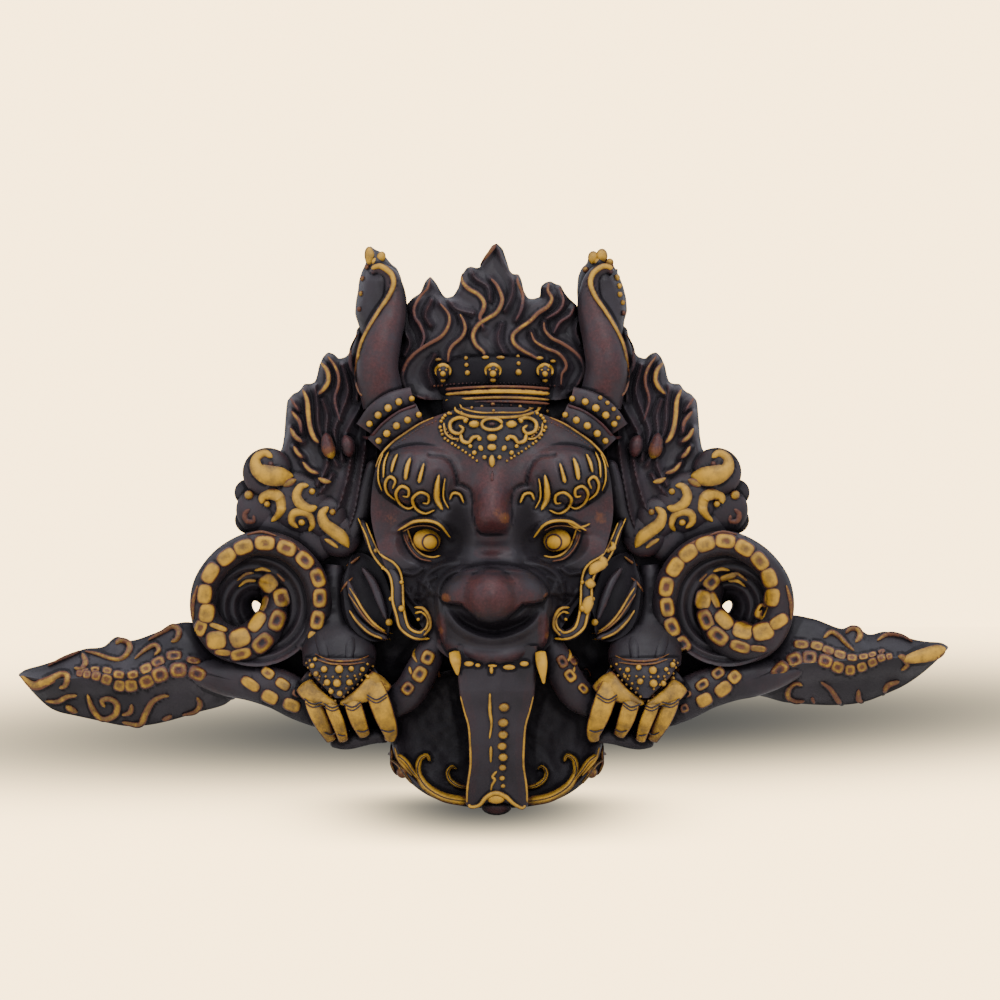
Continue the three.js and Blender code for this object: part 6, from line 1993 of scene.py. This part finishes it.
def painted_resin():
    """Dark antiquing over red-brown, rubbed back where the "rub" attribute is high, with gold paint where
    "gilt" is high. Where "rub" is below 0 it is painted shade, laid on by the dark wash in "sunk". Noise
    breaks up both edges, and a fine bump gives the cast surface its grain."""
    made = bpy.data.materials.get("antiqued_resin")
    if made:
        return made
    made = bpy.data.materials.new("antiqued_resin")
    made.use_nodes = True
    wiring = Wiring(made.node_tree)
    shader = wiring.nodes["Principled BSDF"]
    place_on = wiring.nodes.new("ShaderNodeTexCoord").outputs["Object"]
    chosen = sizes()
    broad, middle, fine = (wiring.noise(place_on, *kind) for kind in (CLOUDS, PATCHES, SPECKS))
    base = wiring.mixed(wiring.ease(broad, 0.35, 0.65), tint(chosen.dark, 0.85), tint(chosen.dark, 1.7))
    rub, sunk, proud = wiring.attribute("rub"), wiring.attribute("sunk"), wiring.attribute("proud")
    shown = wiring.maths("ADD", rub, wiring.maths("MULTIPLY", proud, WASH["proud"]))
    shown = wiring.maths("SUBTRACT", shown, wiring.maths("MULTIPLY", sunk, WASH["sunk"]))
    worn = wiring.maths("MULTIPLY", shown, wiring.ease(middle, 0.25, 0.7, 0.5, 1.15))
    warm = wiring.mixed(wiring.ease(fine, 0.35, 0.7), tint(chosen.rubbed, 0.75), tint(chosen.rubbed, 1.25))
    painted = wiring.mixed(wiring.ease(worn, 0.0, 1.0), base, warm)
    # The dark wash in the hollows, which also lays the painted shade marked in "sunk"
    painted = wiring.mixed(
        wiring.ease(sunk, 0.0, 1.0, 0.0, WASH["cover"]), painted, tint(chosen.dark, WASH["darkest"]))
    around_zero = wiring.maths("SUBTRACT", middle, 0.5)
    ragged = wiring.maths("MULTIPLY", wiring.maths("SUBTRACT", fine, 0.5), GILDING["ragged"])
    uneven = wiring.maths("MULTIPLY", around_zero, GILDING["uneven"])
    broken = wiring.maths("ADD", wiring.maths("ADD", wiring.attribute("gilt"), ragged), uneven)
    broken = wiring.maths("SUBTRACT", broken, wiring.maths("MULTIPLY", sunk, GILDING["sunk"]))
    tinged = wiring.maths("ADD", broken, wiring.maths("MULTIPLY", proud, GILDING["edge proud"]))
    stained = wiring.mixed(wiring.ease(tinged, 0.16, 0.42), painted, tint(chosen.stain))
    thick = wiring.maths("ADD", broken, wiring.maths("MULTIPLY", around_zero, GILDING["patchy"]))
    thick = wiring.maths("ADD", thick, wiring.maths("MULTIPLY", proud, GILDING["thick proud"]))
    bright = wiring.mixed(wiring.ease(thick, 0.45, 1.25), tint(chosen.thin_gold), tint(chosen.gold))
    gold_here = wiring.ease(broken, 0.4, 0.62)
    wiring.put(shader.inputs["Base Color"], wiring.mixed(gold_here, stained, bright))
    rough = wiring.ease(middle, 0.3, 0.7, 0.38, 0.52)
    rough = wiring.maths("ADD", rough, wiring.maths("MULTIPLY", gold_here, 0.08))
    wiring.put(shader.inputs["Roughness"], rough)
    bump = wiring.nodes.new("ShaderNodeBump")
    pits = wiring.maths("ADD", wiring.maths("MULTIPLY", fine, 0.6), middle)
    for name, value in (("Strength", BUMP["strength"]), ("Distance", BUMP["distance"]), ("Height", pits)):
        wiring.put(bump.inputs[name], value)
    wiring.put(shader.inputs["Normal"], bump.outputs["Normal"])
    gloss = wiring.ease(sunk, 0.0, 0.8, *GLOSS["open to sunk"])
    gloss = wiring.maths("ADD", gloss, wiring.maths("MULTIPLY", gold_here, GLOSS["more on gold"]))
    wiring.put(shader.inputs["Specular IOR Level"], gloss)
    return made


# Stage

CAMERA = {"lens": 360.0, "distance": 4.0, "x": 0.0032, "z": -0.028, "plane": -0.035}
FLOOR_BELOW = 0.0006
CREAM_LEVEL = 6.2
AMBIENT = (0.9, 0.92, 1.03)
SHADE_WEIGHTS = (1.0, 0.918, 0.765)  # of red, green and blue
FLOOR_REACH = 6.0
FLOOR_MATT = (0.7, 0.66, 0.6, 1)
LIT_AT = Vector((0, -0.03, -0.04))
LIGHTS = (
    # name, place, size, watts
    ("key", (0.5, -1.7, 1.5), 1.2, 12.5),
    ("fill", (-1.5, -1.6, 0.7), 1.6, 6.5),
    ("top", (0, -0.3, 1.6), 1.4, 8),
)
# Shade behind the mask, in metres as seen at the mask: the drop of its middle line below the camera's axis,
# the slope of that line, and its reach
BEHIND = {"x": 0.014, "drop": 0.0908, "tilt": -0.03, "wide": 0.227, "tall": 0.0183, "level": 4.3}
# Shade under the jaw, in metres on the floor: it grows from "front", and from "back", to "core"
UNDER = {"x": -0.002, "wide": 0.047, "front": -0.44, "core": 0.1, "back": 0.4, "level": 3.7}


def cream_world():
    """Cream where the camera sees it, and a much weaker, cooler light on the mask."""
    world = bpy.data.worlds.new("studio")
    world.use_nodes = True
    wiring = Wiring(world.node_tree)
    chosen = sizes()
    seen = wiring.nodes.new("ShaderNodeLightPath").outputs["Is Camera Ray"]
    shader = wiring.nodes["Background"]
    soft = tuple(chosen.ambient * c for c in AMBIENT) + (1.0,)
    cream = tuple(CREAM_LEVEL * c for c in chosen.cream) + (1.0,)
    wiring.put(shader.inputs["Color"], wiring.mixed(seen, soft, cream))
    return world


def floor_paint():
    """Cream that glows only for the camera, dimmed as exp(-k) by a wide oval of shade behind the mask, as
    it is seen from the camera, and a small one under the jaw."""
    made = bpy.data.materials.new("floor_paint")
    made.use_nodes = True
    wiring = Wiring(made.node_tree)
    chosen = sizes()
    split = wiring.nodes.new("ShaderNodeSeparateXYZ")
    wiring.put(split.inputs[0], wiring.nodes.new("ShaderNodeTexCoord").outputs["Object"])
    x, y = split.outputs[0], split.outputs[1]

    def bell(value, middle, width):
        off = wiring.maths("DIVIDE", wiring.maths("SUBTRACT", value, middle), width)
        return wiring.maths("EXPONENT", wiring.maths("MULTIPLY", wiring.maths("MULTIPLY", off, off), -1.0))

    distance = CAMERA["distance"]
    away = wiring.maths("SUBTRACT", y, CAMERA["plane"] - distance)
    drop = CAMERA["z"] - (cad_low.z - FLOOR_BELOW)
    seen_x = wiring.maths("DIVIDE", wiring.maths("MULTIPLY", x, distance), away)
    seen_drop = wiring.maths("DIVIDE", drop * distance, away)
    line = wiring.maths("ADD", wiring.maths("MULTIPLY", seen_x, BEHIND["tilt"]), BEHIND["drop"])
    band = wiring.maths("MULTIPLY", bell(seen_x, BEHIND["x"], BEHIND["wide"]),
        bell(seen_drop, line, BEHIND["tall"]))
    band = wiring.maths("MULTIPLY", band, BEHIND["level"])
    along = wiring.maths(
        "MULTIPLY", wiring.ease(y, UNDER["front"], UNDER["core"]),
        wiring.ease(y, UNDER["back"], UNDER["core"]))
    under = wiring.maths("MULTIPLY", along, bell(x, UNDER["x"], UNDER["wide"]))
    under = wiring.maths("MULTIPLY", under, UNDER["level"])
    shade = wiring.maths("ADD", band, under)
    glow_colour = wiring.nodes.new("ShaderNodeCombineColor")
    for socket, channel, weight in zip(glow_colour.inputs, chosen.cream, SHADE_WEIGHTS):
        left = wiring.maths("EXPONENT", wiring.maths("MULTIPLY", shade, -weight))
        wiring.put(socket, wiring.maths("MULTIPLY", left, CREAM_LEVEL * channel))
    glow = wiring.nodes.new("ShaderNodeEmission")
    wiring.put(glow.inputs["Color"], glow_colour.outputs[0])
    matt = wiring.nodes.new("ShaderNodeBsdfDiffuse")
    wiring.put(matt.inputs["Color"], FLOOR_MATT)
    blend = wiring.nodes.new("ShaderNodeMixShader")
    seen = wiring.nodes.new("ShaderNodeLightPath").outputs["Is Camera Ray"]
    for socket, value in zip(blend.inputs, (seen, matt.outputs[0], glow.outputs[0])):
        wiring.put(socket, value)
    wiring.put(wiring.nodes["Material Output"].inputs["Surface"], blend.outputs[0])
    return made


def model_stage():
    """Camera level with the mask, a pale floor just under it, and large soft lights."""
    scene = bpy.context.scene
    camera_data = bpy.data.cameras.new("camera")
    camera_data.lens = CAMERA["lens"]
    camera_data.sensor_width = 36
    camera_data.clip_end = 100
    camera = bpy.data.objects.new("camera", camera_data)
    camera.location = (CAMERA["x"], CAMERA["plane"] - CAMERA["distance"], CAMERA["z"])
    camera.rotation_euler = (math.radians(90), 0, 0)
    scene.collection.objects.link(camera)
    scene.camera = camera

    floor_mesh = bpy.data.meshes.new("floor")
    level = cad_low.z - FLOOR_BELOW
    corners = [(x * FLOOR_REACH, y * FLOOR_REACH, level) for x, y in ((-1, -1), (1, -1), (1, 1), (-1, 1))]
    floor_mesh.from_pydata(corners, [], [(0, 1, 2, 3)])
    floor = bpy.data.objects.new("floor", floor_mesh)
    scene.collection.objects.link(floor)
    floor.data.materials.append(floor_paint())
    scene.world = cream_world()

    for name, spot, width, watts in LIGHTS:
        data = bpy.data.lights.new(name, "AREA")
        data.size = width
        data.energy = watts
        lamp = bpy.data.objects.new(name, data)
        lamp.location = spot
        lamp.rotation_euler = (LIT_AT - Vector(spot)).to_track_quat("-Z", "Y").to_euler()
        scene.collection.objects.link(lamp)


# Operators, one for each piece or group of like pieces

class MASK_OT_head(bpy.types.Operator):
    """Model the face, from the forehead to the upper lip, with the hollow behind it"""
    bl_idname = "mask.head"
    bl_label = "Head"

    def execute(self, context):
        model_head()
        return {"FINISHED"}


class MASK_OT_crown(bpy.types.Operator):
    """Model the crown and the jewel on the forehead"""
    bl_idname = "mask.crown"
    bl_label = "Crown"

    def execute(self, context):
        model_crown()
        model_forehead_jewel()
        return {"FINISHED"}


class MASK_OT_face_details(bpy.types.Operator):
    """Model the brows, eyes and teeth"""
    bl_idname = "mask.face_details"
    bl_label = "Brows, eyes and teeth"

    def execute(self, context):
        model_brows()
        model_eyes()
        model_teeth()
        return {"FINISHED"}


class MASK_OT_hair(bpy.types.Operator):
    """Model the flames of hair over the crown and at both sides"""
    bl_idname = "mask.hair"
    bl_label = "Hair"

    def execute(self, context):
        model_hair()
        model_side_flames()
        return {"FINISHED"}


class MASK_OT_horns(bpy.types.Operator):
    """Model the horns with their leaves and beaded bands"""
    bl_idname = "mask.horns"
    bl_label = "Horns"

    def execute(self, context):
        model_horns()
        return {"FINISHED"}


class MASK_OT_ears(bpy.types.Operator):
    """Model the ears and the long ornaments in front of them"""
    bl_idname = "mask.ears"
    bl_label = "Ears"

    def execute(self, context):
        model_ears()
        model_ear_ornaments()
        return {"FINISHED"}


class MASK_OT_scrolls(bpy.types.Operator):
    """Model the scrolls above the coils"""
    bl_idname = "mask.scrolls"
    bl_label = "Scrolls"

    def execute(self, context):
        model_scrolls()
        return {"FINISHED"}


class MASK_OT_serpents(bpy.types.Operator):
    """Model the serpents: coils, tails and the bodies between them"""
    bl_idname = "mask.serpents"
    bl_label = "Serpents"

    def execute(self, context):
        model_coils()
        model_tails()
        model_bodies()
        return {"FINISHED"}


class MASK_OT_hands(bpy.types.Operator):
    """Model the hands that hold the serpents"""
    bl_idname = "mask.hands"
    bl_label = "Hands"

    def execute(self, context):
        model_hands()
        return {"FINISHED"}


class MASK_OT_jaw(bpy.types.Operator):
    """Model the lower jaw and the tongue that hangs over it"""
    bl_idname = "mask.jaw"
    bl_label = "Jaw and tongue"

    def execute(self, context):
        model_jaw()
        model_tongue()
        return {"FINISHED"}


class MASK_OT_ground(bpy.types.Operator):
    """Model the plain ground behind the forms"""
    bl_idname = "mask.ground"
    bl_label = "Ground"

    def execute(self, context):
        model_ground()
        return {"FINISHED"}


class MASK_OT_antique(bpy.types.Operator):
    """Mark where the dark wash stays in the hollows and where it is rubbed off the swells"""
    bl_idname = "mask.antique"
    bl_label = "Antiquing"

    def execute(self, context):
        age_casting()
        return {"FINISHED"}


class MASK_OT_stage(bpy.types.Operator):
    """Set up the camera, the floor and the lights"""
    bl_idname = "mask.stage"
    bl_label = "Stage"

    def execute(self, context):
        model_stage()
        return {"FINISHED"}


OPERATORS = (
    MASK_OT_ground, MASK_OT_head, MASK_OT_hair, MASK_OT_horns, MASK_OT_crown, MASK_OT_face_details,
    MASK_OT_scrolls, MASK_OT_serpents, MASK_OT_ears, MASK_OT_jaw, MASK_OT_hands, MASK_OT_antique,
    MASK_OT_stage,
)


class MASK_PT_panel(bpy.types.Panel):
    """Sizes, colours and the steps that model the mask"""
    bl_idname = "MASK_PT_panel"
    bl_label = "Chhepu mask"
    bl_space_type = "VIEW_3D"
    bl_region_type = "UI"
    bl_category = "Mask"

    def draw(self, context):
        chosen = context.scene.mask_sizes
        for name in chosen.bl_rna.properties.keys():
            if name not in ("rna_type", "name"):
                self.layout.prop(chosen, name)
        for operator in OPERATORS:
            self.layout.operator(operator.bl_idname)


CLASSES = (MaskSizes, *OPERATORS, MASK_PT_panel)


def register():
    for each in CLASSES:
        bpy.utils.register_class(each)
    bpy.types.Scene.mask_sizes = PointerProperty(type=MaskSizes)


def unregister():
    del bpy.types.Scene.mask_sizes
    for each in reversed(CLASSES):
        bpy.utils.unregister_class(each)


def main():
    register()
    for operator in OPERATORS:
        group, name = operator.bl_idname.split(".")
        getattr(getattr(bpy.ops, group), name)()


if __name__ == "__main__":
    main()
